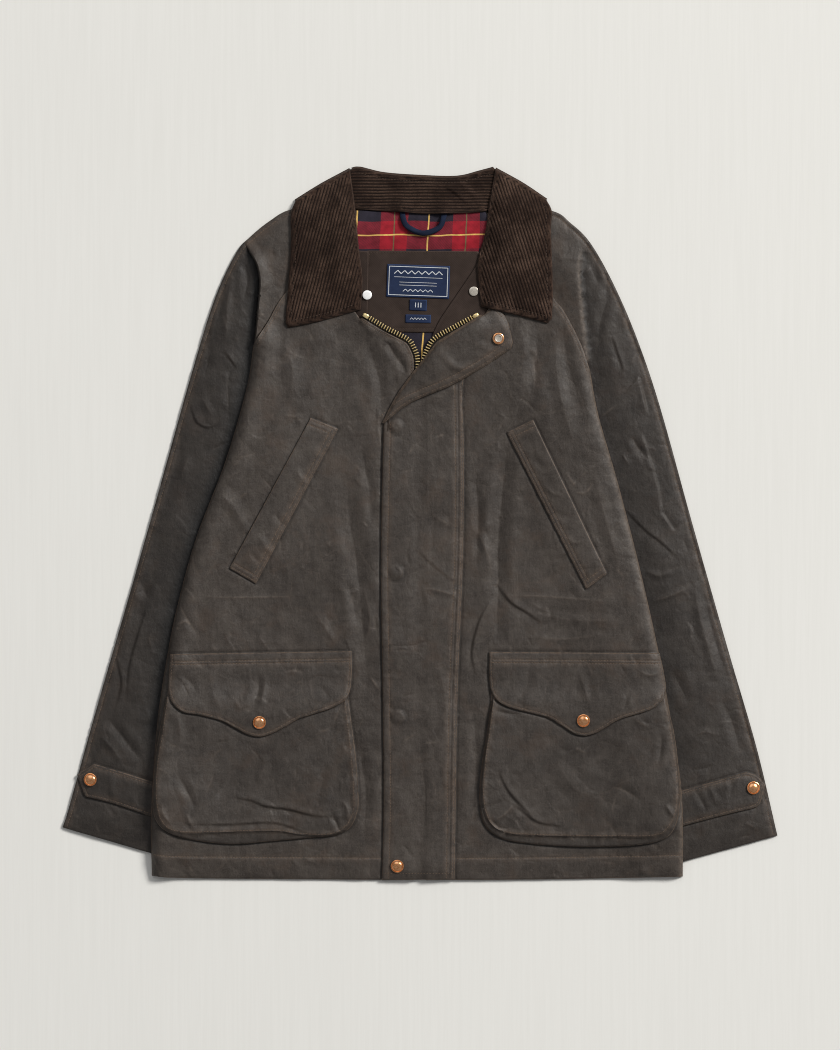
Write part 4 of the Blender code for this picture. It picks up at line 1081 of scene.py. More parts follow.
def tartan(name):
    """Woven tartan: red and navy bands crossing, shown in turn by a fine twill, with thin bright lines."""
    look = Look(name)
    flat = look.place()
    wavy = look.math("MULTIPLY", look.math("SUBTRACT", look.noise(flat, 25.0, 2.0), 0.5), 0.004)
    axes = look.add("ShaderNodeSeparateXYZ", {"Vector": flat})
    slant = look.math("MULTIPLY", look.math("SUBTRACT", axes.outputs["Y"], TARTAN_LEVEL), TARTAN_SLANT)
    across = look.math("SUBTRACT", look.math("SUBTRACT", axes.outputs["X"], slant), TARTAN_ORIGIN[0])
    up = look.math("SUBTRACT", axes.outputs["Y"], TARTAN_ORIGIN[1])
    across, up = look.math("ADD", across, wavy), look.math("ADD", up, wavy)
    warp = look.mix(banded(look, across, *WARP_RED), NAVY_THREAD, RED)
    weft = look.mix(banded(look, up, *WEFT_RED), NAVY_THREAD, RED)
    twill = look.math("FRACT", look.math("MULTIPLY", look.math("ADD", across, up), 620.0))
    share = look.ramp(twill, 0.35, 0.65)
    colour = look.mix(look.math("MULTIPLY_ADD", share, 0.4, 0.3), warp, weft)
    for line in TARTAN_LINES:
        shows = banded(look, across if line.along == "warp" else up, line.middle, line.half)
        colour = look.mix(look.math("MULTIPLY", shows, line.strength), colour, line.colour)
    mottled = look.ramp(look.noise(flat, 130.0, 3.0), 0.25, 0.75, 0.72, 1.12)
    colour = look.mix(1.0, colour, look.grey(mottled), "MULTIPLY")
    normal = look.bump(share, 0.00008, 0.6)
    return look.finish(colour, 0.75, normal, Specular_IOR_Level=0.2)


def woven(name, colour, pale, ribs, roughness=0.8):
    """A plain tape or twill with fine ribs, so many to the metre along X and Y."""
    look = Look(name)
    flat = look.place()
    axes = look.add("ShaderNodeSeparateXYZ", {"Vector": flat})
    diagonal = look.math("ADD", axes.outputs["X"], axes.outputs["Y"])
    rib = look.math("PINGPONG", look.math("FRACT", look.math("MULTIPLY", diagonal, ribs)), 0.5)
    mottled = look.noise(flat, 60.0, 4.0, 0.6)
    share = look.math("ADD", look.math("MULTIPLY", mottled, 0.8), look.math("MULTIPLY", rib, 0.5))
    made = look.mix(look.ramp(share, 0.3, 0.8), colour, pale)
    edge = look.math("MULTIPLY", look.ramp(look.attribute("edge"), 0.1, 1.6, 1.0, 0.0), 0.3)
    made = look.mix(edge, made, tuple(min(1.0, 2.0 * value) for value in pale))
    return look.finish(made, roughness, look.bump(rib, 0.00015, 0.5), Specular_IOR_Level=0.2)


def metal(name, colour, tarnish, roughness=0.2, polish=0.8):
    """Plated metal with soft tarnish and fine scratches. Less polish scatters more of the light."""
    look = Look(name)
    flat = look.place()
    cloud = look.ramp(look.noise(flat, 350.0, 3.0, 0.6), 0.35, 0.7)
    made = look.mix(cloud, colour, tarnish)
    rough = look.ramp(look.noise(look.place(scale=(1, 12, 1), turn=30), 900.0, 2.0), 0.3, 0.8,
                      roughness * 0.8, roughness * 1.7)
    return look.finish(made, rough, Metallic=polish)


def thread(name, colour):
    """Twisted thread."""
    look = Look(name)
    twist = look.noise(look.place(turn=40), 1400.0, 1.0)
    made = look.mix(look.ramp(twist, 0.3, 0.7), tuple(0.75 * value for value in colour), colour)
    return look.finish(made, 0.7, Specular_IOR_Level=0.3)


PAPER_DARK, PAPER_PALE = (0.768, 0.758, 0.719), (0.797, 0.787, 0.749)


def floor_paper():
    """Off-white paper with faint upright streaks."""
    look = Look("floor")
    cloud = look.noise(look.place(), 1.5, 2.0)
    streak = look.noise(look.place(scale=(40, 1, 1)), 6.0, 4.0, 0.7)
    share = look.sum(((cloud, 0.5), (streak, 0.9)))
    colour = look.mix(look.ramp(share, 0.45, 0.95), PAPER_DARK, PAPER_PALE)
    return look.finish(colour, 0.95, Specular_IOR_Level=0.05)


LOOKS = {
    "body": waxed_cotton("waxed_cotton"),
    "sleeve_right": waxed_cotton("waxed_cotton_right", SLEEVE_GRAIN),
    "sleeve_left": waxed_cotton("waxed_cotton_left", -SLEEVE_GRAIN),
    "corduroy": corduroy("corduroy"),
    "tartan": tartan("tartan_lining"),
    "twill": woven("brown_twill", (0.026, 0.0165, 0.0125), (0.046, 0.031, 0.025), ribs=520.0),
    "navy": woven("navy_woven", (0.010, 0.018, 0.048), (0.019, 0.033, 0.082), ribs=1200.0),
    "loop": woven("navy_loop", (0.003, 0.005, 0.012), (0.009, 0.014, 0.032), ribs=500.0, roughness=0.95),
    "tape": woven("zip_tape", (0.010, 0.008, 0.007), (0.022, 0.018, 0.015), ribs=600.0),
    "thread": thread("brown_thread", (0.135, 0.092, 0.064)),
    "dark_thread": thread("dark_thread", (0.085, 0.056, 0.041)),
    "white_thread": thread("white_thread", (0.62, 0.64, 0.66)),
    "brass": metal("brass", (0.98, 0.80, 0.42), (0.84, 0.62, 0.28), 0.24, 0.72),
    "copper": metal("copper", (0.97, 0.51, 0.26), (0.74, 0.32, 0.12), 0.19, 0.94),
    "nickel": metal("nickel", (0.66, 0.61, 0.53), (0.50, 0.45, 0.38), 0.28, 0.60),
    # A pale copy of the nickel: a painted highlight, for the neck snap that glares in the light
    "nickel_glare": metal("nickel_glare", (0.97, 0.97, 0.95), (0.90, 0.90, 0.88), 0.30, 0.30),
}


# ---- making objects ----

def shown(node):
    """The name of the piece that is seen in place of a CAD node."""
    return f"{node}_shown"


def register(name, mesh, look, nodes, slot):
    """Put a finished mesh in the scene, as the look of some CAD nodes."""
    mesh.materials.append(LOOKS[look])
    obj = bpy.data.objects.new(shown(name) if nodes else name, mesh)
    bpy.context.scene.collection.objects.link(obj)
    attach(obj, "root")
    if nodes:
        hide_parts(*nodes)
    return obj


def index_of(layer, line):
    """Where the points of this line are in the layer's outline, in the outline's own order."""
    found = [min(range(len(layer.outline)), key=lambda i: math.dist(layer.outline[i], p)) for p in line]
    return found if (found[1] - found[0]) % len(layer.outline) == 1 else found[::-1]


def flat_cut(layers):
    """The sides of the box, in m, that the layers were cut from, and their area in m2."""
    boxes = [np.array(layer.outline) for layer in layers]
    width = max(float(np.ptp(box[:, 0])) for box in boxes) * MM
    area = sum(area_of(layer.outline) for layer in layers) * MM * MM
    length = max(max(float(np.ptp(box[:, 1])) for box in boxes) * MM, 1.01 * area / width)
    width = min(width, area / (0.31 * length)) if area < 0.31 * width * length else width
    return (max(width, LEAST_SHEET), max(length, LEAST_SHEET)), area


def fold_crest(lower, upper, line, lower_start, upper_start, start):
    """The rounded edge that joins a lower layer to a higher one along a line.

    It gives its points and faces, and the rim points of the two layers that it begins from.
    """
    low, high = index_of(lower, line), index_of(upper, line)
    direction = np.gradient(lower.points[low], axis=0)
    outward = np.stack([direction[:, 1], -direction[:, 0]], axis=1)
    outward /= np.linalg.norm(outward, axis=1, keepdims=True)
    middle = (lower.bottom[low] + upper.top[high]) / 2
    points = np.column_stack([lower.points[low] + outward * FOLD_BULGE, middle])
    crest = [start + i for i in range(len(low))]
    low_bottom = [lower_start + i for i in low]
    low_top = [i + len(lower.points) for i in low_bottom]
    high_bottom = [upper_start + j for j in high]
    high_top = [j + len(upper.points) for j in high_bottom]
    faces = []
    for i in range(len(low) - 1):
        j = i + 1
        faces.append([low_bottom[i], low_bottom[j], crest[j], crest[i]])
        faces.append([crest[i], crest[j], high_top[j], high_top[i]])
        faces.append([high_bottom[i], high_bottom[j], low_top[j], low_top[i]])
    for end, turn in ((0, 1), (-1, -1)):
        upright = [high_top[end], high_bottom[end], low_top[end], low_bottom[end]]
        faces += [[crest[end], *pair[::turn]] for pair in zip(upright, upright[1:])]
    return points, faces, low[:-1], high[:-1]


def shell(layers, folds):
    """The points and faces of a closed shell: each layer's two faces, its rim and the folds between them."""
    points, faces, starts = [], [], []
    total = 0
    for layer in layers:
        starts.append(total)
        count = len(layer.points)
        points += [np.column_stack([layer.points, height]) for height in (layer.bottom, layer.top)]
        faces += (layer.triangles[:, ::-1] + total).tolist()
        faces += (layer.triangles + total + count).tolist()
        total += 2 * count
    folded = [set() for _ in layers]
    for lower, upper, line in folds:
        crest, joined, low, high = fold_crest(layers[lower], layers[upper], line, starts[lower],
                                              starts[upper], total)
        points.append(crest)
        faces += joined
        total += len(crest)
        folded[lower].update(low)
        folded[upper].update(high)
    for layer, start, taken in zip(layers, starts, folded):
        rim, count = len(layer.outline), len(layer.points)
        for i in range(rim):
            if i not in taken:
                j = (i + 1) % rim
                faces.append([start + i, start + j, start + count + j, start + count + i])
    return np.vstack(points), faces


def channels(layer):
    """What the materials read at each point of a layer, as their attributes' names and values."""
    edge = np.minimum(layer.depth + layer.fresh, layer.FAR)
    return {"edge": edge, "seam": layer.seam, "mark": layer.mark, "painted_shade": layer.painted_shade, "wale": layer.wale}


def mesh_of(name, points, faces):
    """A mesh from points in mm."""
    mesh = bpy.data.meshes.new(name)
    mesh.from_pydata((np.array(points) * MM).tolist(), [], faces)
    return mesh


def cloth(name, look, layers, folds=(), slot="waxed_cotton", rests_on=()):
    """A piece of cloth of one or more layers. A fold joins a lower layer to a higher one along one line."""
    points, faces = shell(layers, folds)
    mesh = mesh_of(name, points, faces)
    read = [channels(layer) for layer in layers]
    for key in read[0]:
        values = np.zeros(len(points))
        given = np.concatenate([np.tile(layer[key], 2) for layer in read])
        values[:len(given)] = given
        mesh.attributes.new(key, "FLOAT", "POINT").data.foreach_set("value", values)
    mesh.shade_smooth()
    mesh.set_sharp_from_angle(angle=math.radians(55))
    obj = register(name, mesh, look, [name], slot)
    flat, area = flat_cut(layers)
    [shown(node) for node in rests_on]


def along_line(line):
    """How far along a line each of its points is."""
    return np.concatenate([[0.0], np.cumsum(np.linalg.norm(np.diff(line, axis=0), axis=1))])


class Bars:
    """Thin closed bars that lie on the pile, such as stitches, joined into one mesh."""

    STITCH_SIDES = 5
    STITCH_RINGS = ((0.45, 0.18), (1.0, 0.0), (0.45, 0.18))  # share of the radius, and how deep in the cloth
    STRIP_THICK = 0.16

    def __init__(self):
        self.points, self.faces = [], []

    def bar(self, rings):
        """A bar through rings of equally many points."""
        base, sides = len(self.points), len(rings[0])
        last = base + (len(rings) - 1) * sides
        for start, ring in zip(range(base, last + 1, sides), rings):
            self.points += ring
            for k in range(sides if start < last else 0):
                a, b = start + k, start + (k + 1) % sides
                self.faces.append((a, a + sides, b + sides, b))
        self.faces.append(tuple(base + k for k in range(sides)))
        self.faces.append(tuple(last + k for k in reversed(range(sides))))

    def stitches(self, pile, line, lift=0.05):
        """A run of stitches along a line."""
        curve = np.array(through(line, 1.0))
        lengths = along_line(curve)
        starts = np.arange(0.4, lengths[-1] - STITCH_LENGTH, STITCH_PITCH)
        places = np.stack([starts, starts + STITCH_LENGTH / 2, starts + STITCH_LENGTH], axis=1)
        spots = np.stack([np.interp(places, lengths, curve[:, k]) for k in (0, 1)], axis=2)
        heights = pile.height(spots.reshape(-1, 2)).reshape(places.shape) + lift
        angles = 2 * np.pi * np.arange(self.STITCH_SIDES) / self.STITCH_SIDES
        for spot, high in zip(spots, heights):
            way = (spot[2] - spot[0]) / max(1e-6, np.linalg.norm(spot[2] - spot[0]))
            side = np.array([-way[1], way[0]])
            rings = []
            for centre, z, (size, deep) in zip(spot, high, self.STITCH_RINGS):
                radius = STITCH_RADIUS * size
                rings.append([(*(centre + side * (radius * math.cos(angle))),
                               z - deep + radius * math.sin(angle)) for angle in angles])
            self.bar(rings)

    def strip(self, pile, start, end, width):
        """A flat strip from one place to another."""
        a, b = np.array(start), np.array(end)
        way = (b - a) / np.linalg.norm(b - a)
        side = np.array([-way[1], way[0]]) * width / 2
        count = max(1, int(np.linalg.norm(b - a) / 2))
        profile = ((-1, 0), (-0.8, self.STRIP_THICK), (0.8, self.STRIP_THICK), (1, 0))
        rings = []
        for k in range(count + 1):
            spot = a + (b - a) * k / count
            z = float(pile.height([spot])[0]) + 0.04
            rings.append([(*(spot + side * out), z + up) for out, up in profile])
        self.bar(rings)

    def finish(self, name, look, slot, nodes=(), smooth=True):
        mesh = mesh_of(name, self.points, self.faces)
        if smooth:
            mesh.shade_smooth()
        register(name, mesh, look, nodes, slot)


def turned(name, profile, sides=56):
    """A mesh spun from a profile of (radius, height) points in mm that starts and ends on the axis."""
    shape = bmesh.new()
    rings = []
    for radius, height in profile[1:-1]:
        turns = [2 * math.pi * k / sides for k in range(sides)]
        rings.append([shape.verts.new((radius * math.cos(a) * MM, radius * math.sin(a) * MM, height * MM))
                      for a in turns])
    first = shape.verts.new((0, 0, profile[0][1] * MM))
    last = shape.verts.new((0, 0, profile[-1][1] * MM))
    for k in range(sides):
        n = (k + 1) % sides
        shape.faces.new([first, rings[0][n], rings[0][k]])
        shape.faces.new([last, rings[-1][k], rings[-1][n]])
        for lower, upper in zip(rings, rings[1:]):
            shape.faces.new([lower[k], lower[n], upper[n], upper[k]])
    mesh = bpy.data.meshes.new(name)
    shape.to_mesh(mesh)
    shape.free()
    mesh.shade_smooth()
    mesh.set_sharp_from_angle(angle=math.radians(40))
    return mesh


def leaning(mesh, x, y, z, tilt=(0.0, 0.0)):
    """Move a turned mesh to its place in mm, leaning with the cloth by its slopes."""
    for vertex in mesh.vertices:
        rise = tilt[0] * vertex.co.x + tilt[1] * vertex.co.y
        vertex.co = (vertex.co.x + x * MM, vertex.co.y + y * MM, vertex.co.z + rise + z * MM)
    return mesh


def slope(pile, x, y, radius):
    """How the pile leans at a place, as rise over run along X and Y."""
    spots = [(x - radius, y), (x + radius, y), (x, y - radius), (x, y + radius)]
    left, right, down, up = pile.height(spots)
    return float(right - left) / (2 * radius), float(up - down) / (2 * radius)


# ---- the jacket ----

def stitch_all(seams, pile, lines):
    for line in lines:
        seams.stitches(pile, line)


def turned_up_hem(layer, hem, step, depth, softness, thickness):
    """Thicken the layer's top up to the depth of its turned-up hem."""
    layer.skin += thickness * (1 - past(layer.away(through(hem, step)), depth, softness))


def sleeves(pile, seams):
    """Each raglan sleeve has a back and a front piece, a topstitched overarm seam and a tab at the cuff."""
    for side, half in HALVES.items():
        back_raglan = BACK_RAGLAN if half.sign > 0 else mirrored(BACK_RAGLAN)
        tucked = moved(half.overarm, -OVERARM_TUCK * half.sign)
        edges = [tucked, half.cuff, half.underarm, back_raglan, [back_raglan[-1], tucked[0]]]
        back = Layer(edges, HIDDEN_NET, CLOTH)
        # Painted shade: the whole back of the sleeve is darkened as the low arm is
        back.painted_shade[:] = half.arm_shade
        pile.lay(back)
        cloth(f"sleeve_{side}_back", f"sleeve_{side}", [back])
        sleeve_front(pile, seams, side, half)
        cuff_tab(pile, seams, side, half)


def sleeve_front(pile, seams, side, half):
    """The front piece of a sleeve, which goes under the front panel along the raglan seam."""
    overarm, cuff, sign, seed = half.overarm, half.cuff, half.sign, half.sleeve_seed
    lap = moved(half.raglan, -sign * SEAM_LAP)[::-1]
    overarm_stitch = beside(through(overarm, 12), -OVERARM_STITCH * sign)
    edges = [overarm, cuff, half.underarm, [half.underarm[-1], lap[0]], lap, [lap[-1], overarm[0]]]
    grooves = [around(half.tab)] + ([half.shoulder] if half.pleat_height > DEEP_PLEAT else [])
    front = Layer(edges, SLEEVE_NET, CLOTH, grain=SLEEVE_GRAIN * sign, seams=[overarm_stitch],
                  grooves=grooves, name=f"sleeve_{side}", worn=seed + 5)
    front.relief += 1.15 * limpness(front.points, seed)
    front.fresh = 1.0
    front.crease()
    front.roll(overarm, 9, 2.4)
    front.pucker(overarm_stitch, 7, 0.30, seed)
    front.pucker(beside(through(cuff, 12), -CUFF_HEM * sign), 9, 0.20, seed + 1)
    turned_up_hem(front, cuff, 12, CUFF_HEM - 1, 2.5, 0.4)
    shoulder_pleat(front, half)
    front.mark += 0.45 * bell(front.away(through(half.raglan, 6)), 2.6)
    pile.lay(front, loft=4.2, rise=55, reach=2, drape=3)
    cloth(f"sleeve_{side}_front", f"sleeve_{side}", [front])
    seams.stitches(pile, overarm_stitch)


def shoulder_pleat(front, half):
    """The sleeve is pleated at the shoulder: high on the body side, and low and in painted shadow on the arm
    side.
    """
    fold, width, dark = half.shoulder, half.pleat_width, half.pleat_shade
    away, along, way = nearest(front.points, through(fold, 3))
    grown = past(along, 0, 36)
    body_side = (way * half.sign < 0) & (front.points[:, 1] > fold[-1][1])
    crest = bell(away - width, 3 * width) * np.clip(away / width, 0, 1) ** 0.5
    swell = 0.5 * bell(away, 40)
    front.relief += np.where(body_side, half.pleat_height * grown * (crest + swell), 0.0)
    # Painted shadow: a dark band on the arm side beside the fold, over the arm's painted shade, and a little
    # on the body side next to it
    beside_fold = front.away(through(fold + half.side[1:7], 5))
    reach = 3.0 + 7.0 * past(fold[0][1] - front.points[:, 1], 0, 90)
    shade = dark * bell(beside_fold, reach) + 0.32 * dark * bell(beside_fold, 24)
    shade = half.arm_shade + (1 - half.arm_shade) * np.minimum(shade, 1.0)
    blend = fade(np.clip(1 - away / 3.0, 0, 1)) * 0.5 * dark * grown
    front.painted_shade = np.maximum(front.painted_shade, np.where(body_side, blend, shade))
    front.relief -= np.where(body_side, 0.0, 2.2 * bell(beside_fold, 16))
    # Pale line along the pleat's crest: broken wax, and a painted highlight where it faces the light
    front.mark += half.pleat_wax * bell(away - 2.5, 1.9) * body_side * grown


def cuff_tab(pile, seams, side, half):
    """A double tab, stitched round its open edges, that crosses the cuff from under the front."""
    open_edges = [edge for number, edge in enumerate(half.tab) if number != HIDDEN_TAB_EDGE]
    borders = [beside(through(edge, 4), 3.0) for edge in open_edges]
    piece = Layer(half.tab, SMALL_NET, DOUBLE_CLOTH, grain=SLEEVE_GRAIN * half.sign, seams=borders,
                  name=f"cuff_tab_{side}")
    piece.relief += 0.45 * limpness(piece.points, half.sleeve_seed + 2)
    piece.crease()
    # Painted shade: the tab is darkened as the low arm under it is
    piece.painted_shade[:] = half.arm_shade
    pile.lay(piece, loft=0.7, rise=12, reach=2, drape=3)
    cloth(f"cuff_tab_{side}", f"sleeve_{side}", [piece], rests_on=[f"sleeve_{side}_front"])
    stitch_all(seams, pile, borders)


def back_panel(pile):
    """The back in one piece, from the hem to the neck, inside the fronts' side folds."""
    left, right = moved(SIDE_LEFT, -SIDE_TUCK)[::-1], moved(SIDE_RIGHT, SIDE_TUCK)
    raglan = moved(BACK_RAGLAN, SEAM_LAP)
    other_raglan = mirrored(raglan)[::-1]
    hem = [right[-1], (0, HEM_Y + 1), left[0]]
    edges = [hem, left, [left[-1], raglan[0]], raglan, [raglan[-1], BACK_NECK[0]], BACK_NECK,
             [BACK_NECK[-1], other_raglan[0]], other_raglan, [other_raglan[-1], right[0]], right]
    back = Layer(edges, HIDDEN_NET, CLOTH, name="back")
    back.crease()
    pile.lay(back, reach=6, drape=14)
    cloth("back", "body", [back])


def neck_inside(pile, dark_seams):
    """What shows inside the open neck: tartan lining, patch, labels and hanger loop."""
    lining = Layer(LINING_EDGES, LINING_NET, LINING)
    lining.relief += 0.9 * limpness(lining.points, 60) + 0.5
    for points in LINING_RIDGES:
        lining.relief += crease_relief(lining.points, [Crease(points, 0.7, 3.2, 1, 0)])[0]
    pile.lay(lining, loft=0.8, rise=12)
    cloth("lining_back", "tartan", [lining], slot="tartan_lining", rests_on=["back"])
    patch = Layer(PATCH_EDGES, SMALL_NET, LINING, seams=PATCH_STITCHES, grooves=[PATCH_GROOVE])
    patch.relief += 0.5 * limpness(patch.points, 64)
    for line in PATCH_STITCHES:
        patch.pucker(line, 3, 0.15, 65)
    pile.lay(patch, loft=0.4, rise=10)
    cloth("neck_patch", "twill", [patch], slot="brown_twill", rests_on=["lining_back"])
    stitch_all(dark_seams, pile, PATCH_STITCHES)
    for name, label in LABELS.items():
        piece = Layer(rectangle(*label), LABEL_NET, LINING, rim=(0.5, 1.2))
        pile.lay(piece, reach=2, drape=5, edge_radius=0.8)
        cloth(name, "navy", [piece], slot="navy_woven", rests_on=["neck_patch"])
    label_threads(pile)
    hanger_loop(pile)


def label_threads(pile):
    """White woven lines on the labels: a frame and plain ornament, with no lettering."""
    threads = Bars()
    for name, label in LABELS.items():
        w, h = label.width / 2, label.height / 2
        for line, width in LABEL_ORNAMENT[name](w, h):
            placed = on_label(label, line)
            for a, b in zip(placed, placed[1:]):
                threads.strip(pile, a, b, width)
    threads.finish("label_threads", "white_thread", "navy_woven", smooth=False)


def on_label(label, line):
    """The plan places of points given from a label's middle."""
    c, s = math.cos(math.radians(label.turn)), math.sin(math.radians(label.turn))
    return [(label.x + c * u - s * v, label.y + s * u + c * v) for u, v in line]


def zigzag(start, end, middle, height, count):
    """A zigzag of so many strokes."""
    return [(start + (end - start) * k / count, middle + (height / 2 if k % 2 else -height / 2))
            for k in range(count + 1)]


def main_ornament(w, h):
    """A frame, two zigzags and three lines, each with its width."""
    x, y = w - 2.4, h - 2.4
    frame_line = [(-x, -y), (x, -y), (x, y), (-x, y), (-x, -y)]
    level = [[(-reach, v), (reach, v)] for v, reach in ((4.2, w - 8), (-1.4, w - 14), (-4.6, w - 14))]
    return [(frame_line, 0.8), (zigzag(8 - w, w - 8, 9.6, 3.6, 14), 1.0), *((line, 0.55) for line in level),
            (zigzag(18 - w, w - 18, -10.2, 2.6, 12), 0.8)]


LABEL_ORNAMENT = {
    "label_main": main_ornament,
    "label_size": lambda w, h: [([(u, -2.6), (u, 2.6)], 1.0) for u in (-3.0, 0.0, 3.0)],
    "label_care": lambda w, h: [(zigzag(5 - w, w - 5, 0.0, 2.0, 10), 0.6)],
}


def hanger_loop(pile):
    """A tube of navy cloth, twisted a little, and flat where its ends are sewn in under the stand."""
    path = np.array(through(HANGER_LOOP, 1.5))
    along = np.gradient(path, axis=0)
    along /= np.linalg.norm(along, axis=1, keepdims=True)
    flat_end = past(path[:, 1], 333, 9)
    tall = LOOP_RADIUS * (0.8 - 0.45 * flat_end)
    free = pile.highest(3, 330, 20) + 0.7 * LOOP_RADIUS - 0.6
    middle = np.maximum(pile.height(path) + tall + GAP, free * (1 - flat_end))
    angles = [2 * math.pi * n / LOOP_SIDES for n in range(LOOP_SIDES)]
    rings = []
    for k, (spot, way) in enumerate(zip(path, along)):
        side = np.array([-way[1], way[0]])
        ridges = [(angle, 1 + 0.10 * math.cos(3 * angle + 0.35 * k)) for angle in angles]
        rings.append([(*(spot + side * (LOOP_RADIUS * ridge * math.cos(angle))),
                       middle[k] + tall[k] * ridge * math.sin(angle)) for angle, ridge in ridges])
    loop = Bars()
    loop.bar(rings)
    loop.finish("hanger_loop", "loop", "navy_woven", ["hanger_loop"])
    for spot, height in zip(path, middle + tall):
        if spot[1] > 336:
            pile.raise_disc(*spot, LOOP_RADIUS + 1, height)


def front_edges(pile):
    """Facings beside the open neck, zip tapes and teeth."""
    facing(pile, "left", [FACING_LEFT_EDGE, *FACING_LEFT_REST], FACING_LEFT_EDGE, stitch=3.0, limp=0.5,
           seed=70, loft=0.8, rise=14)
    facing(pile, "right", FACING_RIGHT, FACING_RIGHT[2], stitch=2.2, limp=0.4, seed=72, loft=0.6, rise=10)
    for side, half in HALVES.items():
        sign = half.sign
        line = half.chain[:-1] + [(sign * CHAIN_HALF, 150), (sign * CHAIN_HALF, HEM_Y + 8)]
        inner = beside(line, -sign * (CHAIN_HALF - GAP))
        outer = beside(line, sign * (ZIP_TAPE_WIDTH - CHAIN_HALF))
        band = [inner[:-1], inner[-2:], [inner[-1], outer[-1]], outer[-2:][::-1], outer[-2::-1],
                [outer[0], inner[0]]]
        tape = Layer(band, TAPE_NET, TAPE, rim=(0.5, 1.2))
        pile.lay(tape, reach=2, drape=3, edge_radius=0.8)
        cloth(f"zip_tape_{side}", "tape", [tape], slot="zip_tape", rests_on=["back"])
        zip_teeth(pile, side, half)


def facing(pile, side, edges, sewn, stitch, limp, seed, loft, rise):
    """The facing of a front, seen where the front is open at the neck."""
    piece = Layer(edges, SMALL_NET, CLOTH, seams=[beside(through(sewn, 4), stitch)])
    piece.relief += limp * limpness(piece.points, seed)
    pile.lay(piece, loft=loft, rise=rise)
    cloth(f"facing_{side}", "twill", [piece], slot="brown_twill", rests_on=["neck_patch"])


def zip_teeth(pile, side, half):
    """Brass teeth along the open stretch of the chain, and the bent stop at its top."""
    line = np.array(through(half.chain, 0.5))
    lengths = along_line(line)
    shape = bmesh.new()
    for place_mm in np.arange(FIRST_TOOTH, lengths[-1], TOOTH_PITCH):
        spot, ahead = (np.array([np.interp(at, lengths, line[:, k]) for k in (0, 1)])
                       for at in (place_mm, place_mm + 1))
        tooth(shape, spot, ahead - spot, half.sign, pile.highest(*spot, 2.5) + 0.1, TOOTH, out=0.4)
    tooth(shape, line[0], line[8] - line[0], half.sign, pile.highest(*line[0], 2.5) + 0.1, STOP, on=2.0)
    mesh = bpy.data.meshes.new(f"zip_teeth_{side}")
    shape.to_mesh(mesh)
    shape.free()
    mesh.shade_smooth()
    mesh.set_sharp_from_angle(angle=math.radians(50))
    register(f"zip_teeth_{side}", mesh, "brass", (), "brass")


def tooth(shape, spot, way, sign, z, size, out=0.0, on=0.0):
    """One tooth: a rounded bar across the tape, waisted behind its head.

    out moves it off its spot across the tape, and on along it.
    """
    length, width, height = size
    way = way / max(1e-6, np.linalg.norm(way))
    side = np.array([-way[1], way[0]]) * -sign
    centre = spot + side * out + way * on
    rows = []
    for share, wide, tall in TOOTH_ROWS:
        middle = centre + side * length * share
        places = [(*(middle + way * width * wide * across), z + up * height * tall)
                  for across, up in TOOTH_SECTION]
        rows.append([shape.verts.new([value * MM for value in place]) for place in places])
    count = len(TOOTH_SECTION)
    for low, high in zip(rows, rows[1:]):
        for k in range(count):
            n = (k + 1) % count
            shape.faces.new([low[k], low[n], high[n], high[k]])
    shape.faces.new(rows[0][::-1])
    shape.faces.new(rows[-1])
    bmesh.ops.recalc_face_normals(shape, faces=shape.faces[:])


def fronts(pile, seams):
    """The two front panels, each cut back along the zip's chain."""
    middle = CHAIN_HALF + 4
    hem = [SIDE_RIGHT[-1], (-242, -389), (-middle, HEM_Y)]
    opening = beside(CHAIN_RIGHT, -CHAIN_HALF - 1)
    edges = [hem, [hem[-1], opening[-1]], opening[::-1], [opening[0], NECK_RIGHT[0]], NECK_RIGHT,
             RAGLAN_RIGHT, SIDE_RIGHT]
    front_panel(pile, seams, "right", edges, hem, opening, FLAP_FREE)
    hem = [(middle, HEM_Y), (154, -390), SIDE_LEFT[-1]]
    opening = beside(CHAIN_LEFT, CHAIN_HALF + 1)
    edges = [hem, SIDE_LEFT[::-1], RAGLAN_LEFT[::-1], NECK_LEFT[::-1], [NECK_LEFT[0], opening[0]], opening,
             [opening[-1], hem[0]]]
    front_panel(pile, seams, "left", edges, hem, opening, FLAP_SEWN)


def front_panel(pile, seams, side, edges, hem, opening, flap_edge):
    """One front, with grooves and painted shade where the pockets, the welt and the storm flap press on it.
    """
    half = HALVES[side]
    lines = [beside(through(hem, 20), HEM_STITCH), beside(through(half.raglan, 8), -3.5 * half.sign),
             beside(through(opening, 6), 2.6 * half.sign)]
    grooves = [around(half.bag), around(half.welt), around(half.flap), beside(through(flap_edge, 8), -1.2)]
    panel = Layer(edges, BODY_NET, CLOTH, seams=lines, grooves=grooves, name=f"front_{side}",
                  worn=half.front_seed + 1)
    front_relief(panel, lines, hem, half)
    pile.lay(panel, loft=3.4, rise=60, reach=6, drape=12)
    cloth(f"front_{side}", "body", [panel], rests_on=["back"])
    stitch_all(seams, pile, lines)


def front_relief(panel, lines, hem, half):
    """The rounded side fold, the raglan seam pressed flat, the turned-up hem and the creases of a front."""
    seed = half.front_seed
    panel.relief += 1.2 * limpness(panel.points, seed)
    panel.crease()
    beside_fold = panel.away(through(half.side, 8))
    panel.relief += half.side_bulge * bell(beside_fold - 10, 13)
    # Pale line along the fold's crest: broken wax, and a painted highlight where it faces the light
    panel.mark += half.side_wax * bell(beside_fold - 2.2, 2.4)
    panel.roll(half.side, 10, 0.6 + half.side_bulge)
    panel.skin -= 0.9 * bell(panel.away(through(half.raglan, 8)), 2.6)
    turned_up_hem(panel, hem, 20, HEM_STITCH - 1.5, 3.0, 0.5)
    panel.pucker(lines[0], 10, 0.28, seed + 4)
    panel.pucker(lines[1], 6, 0.2, seed + 5)


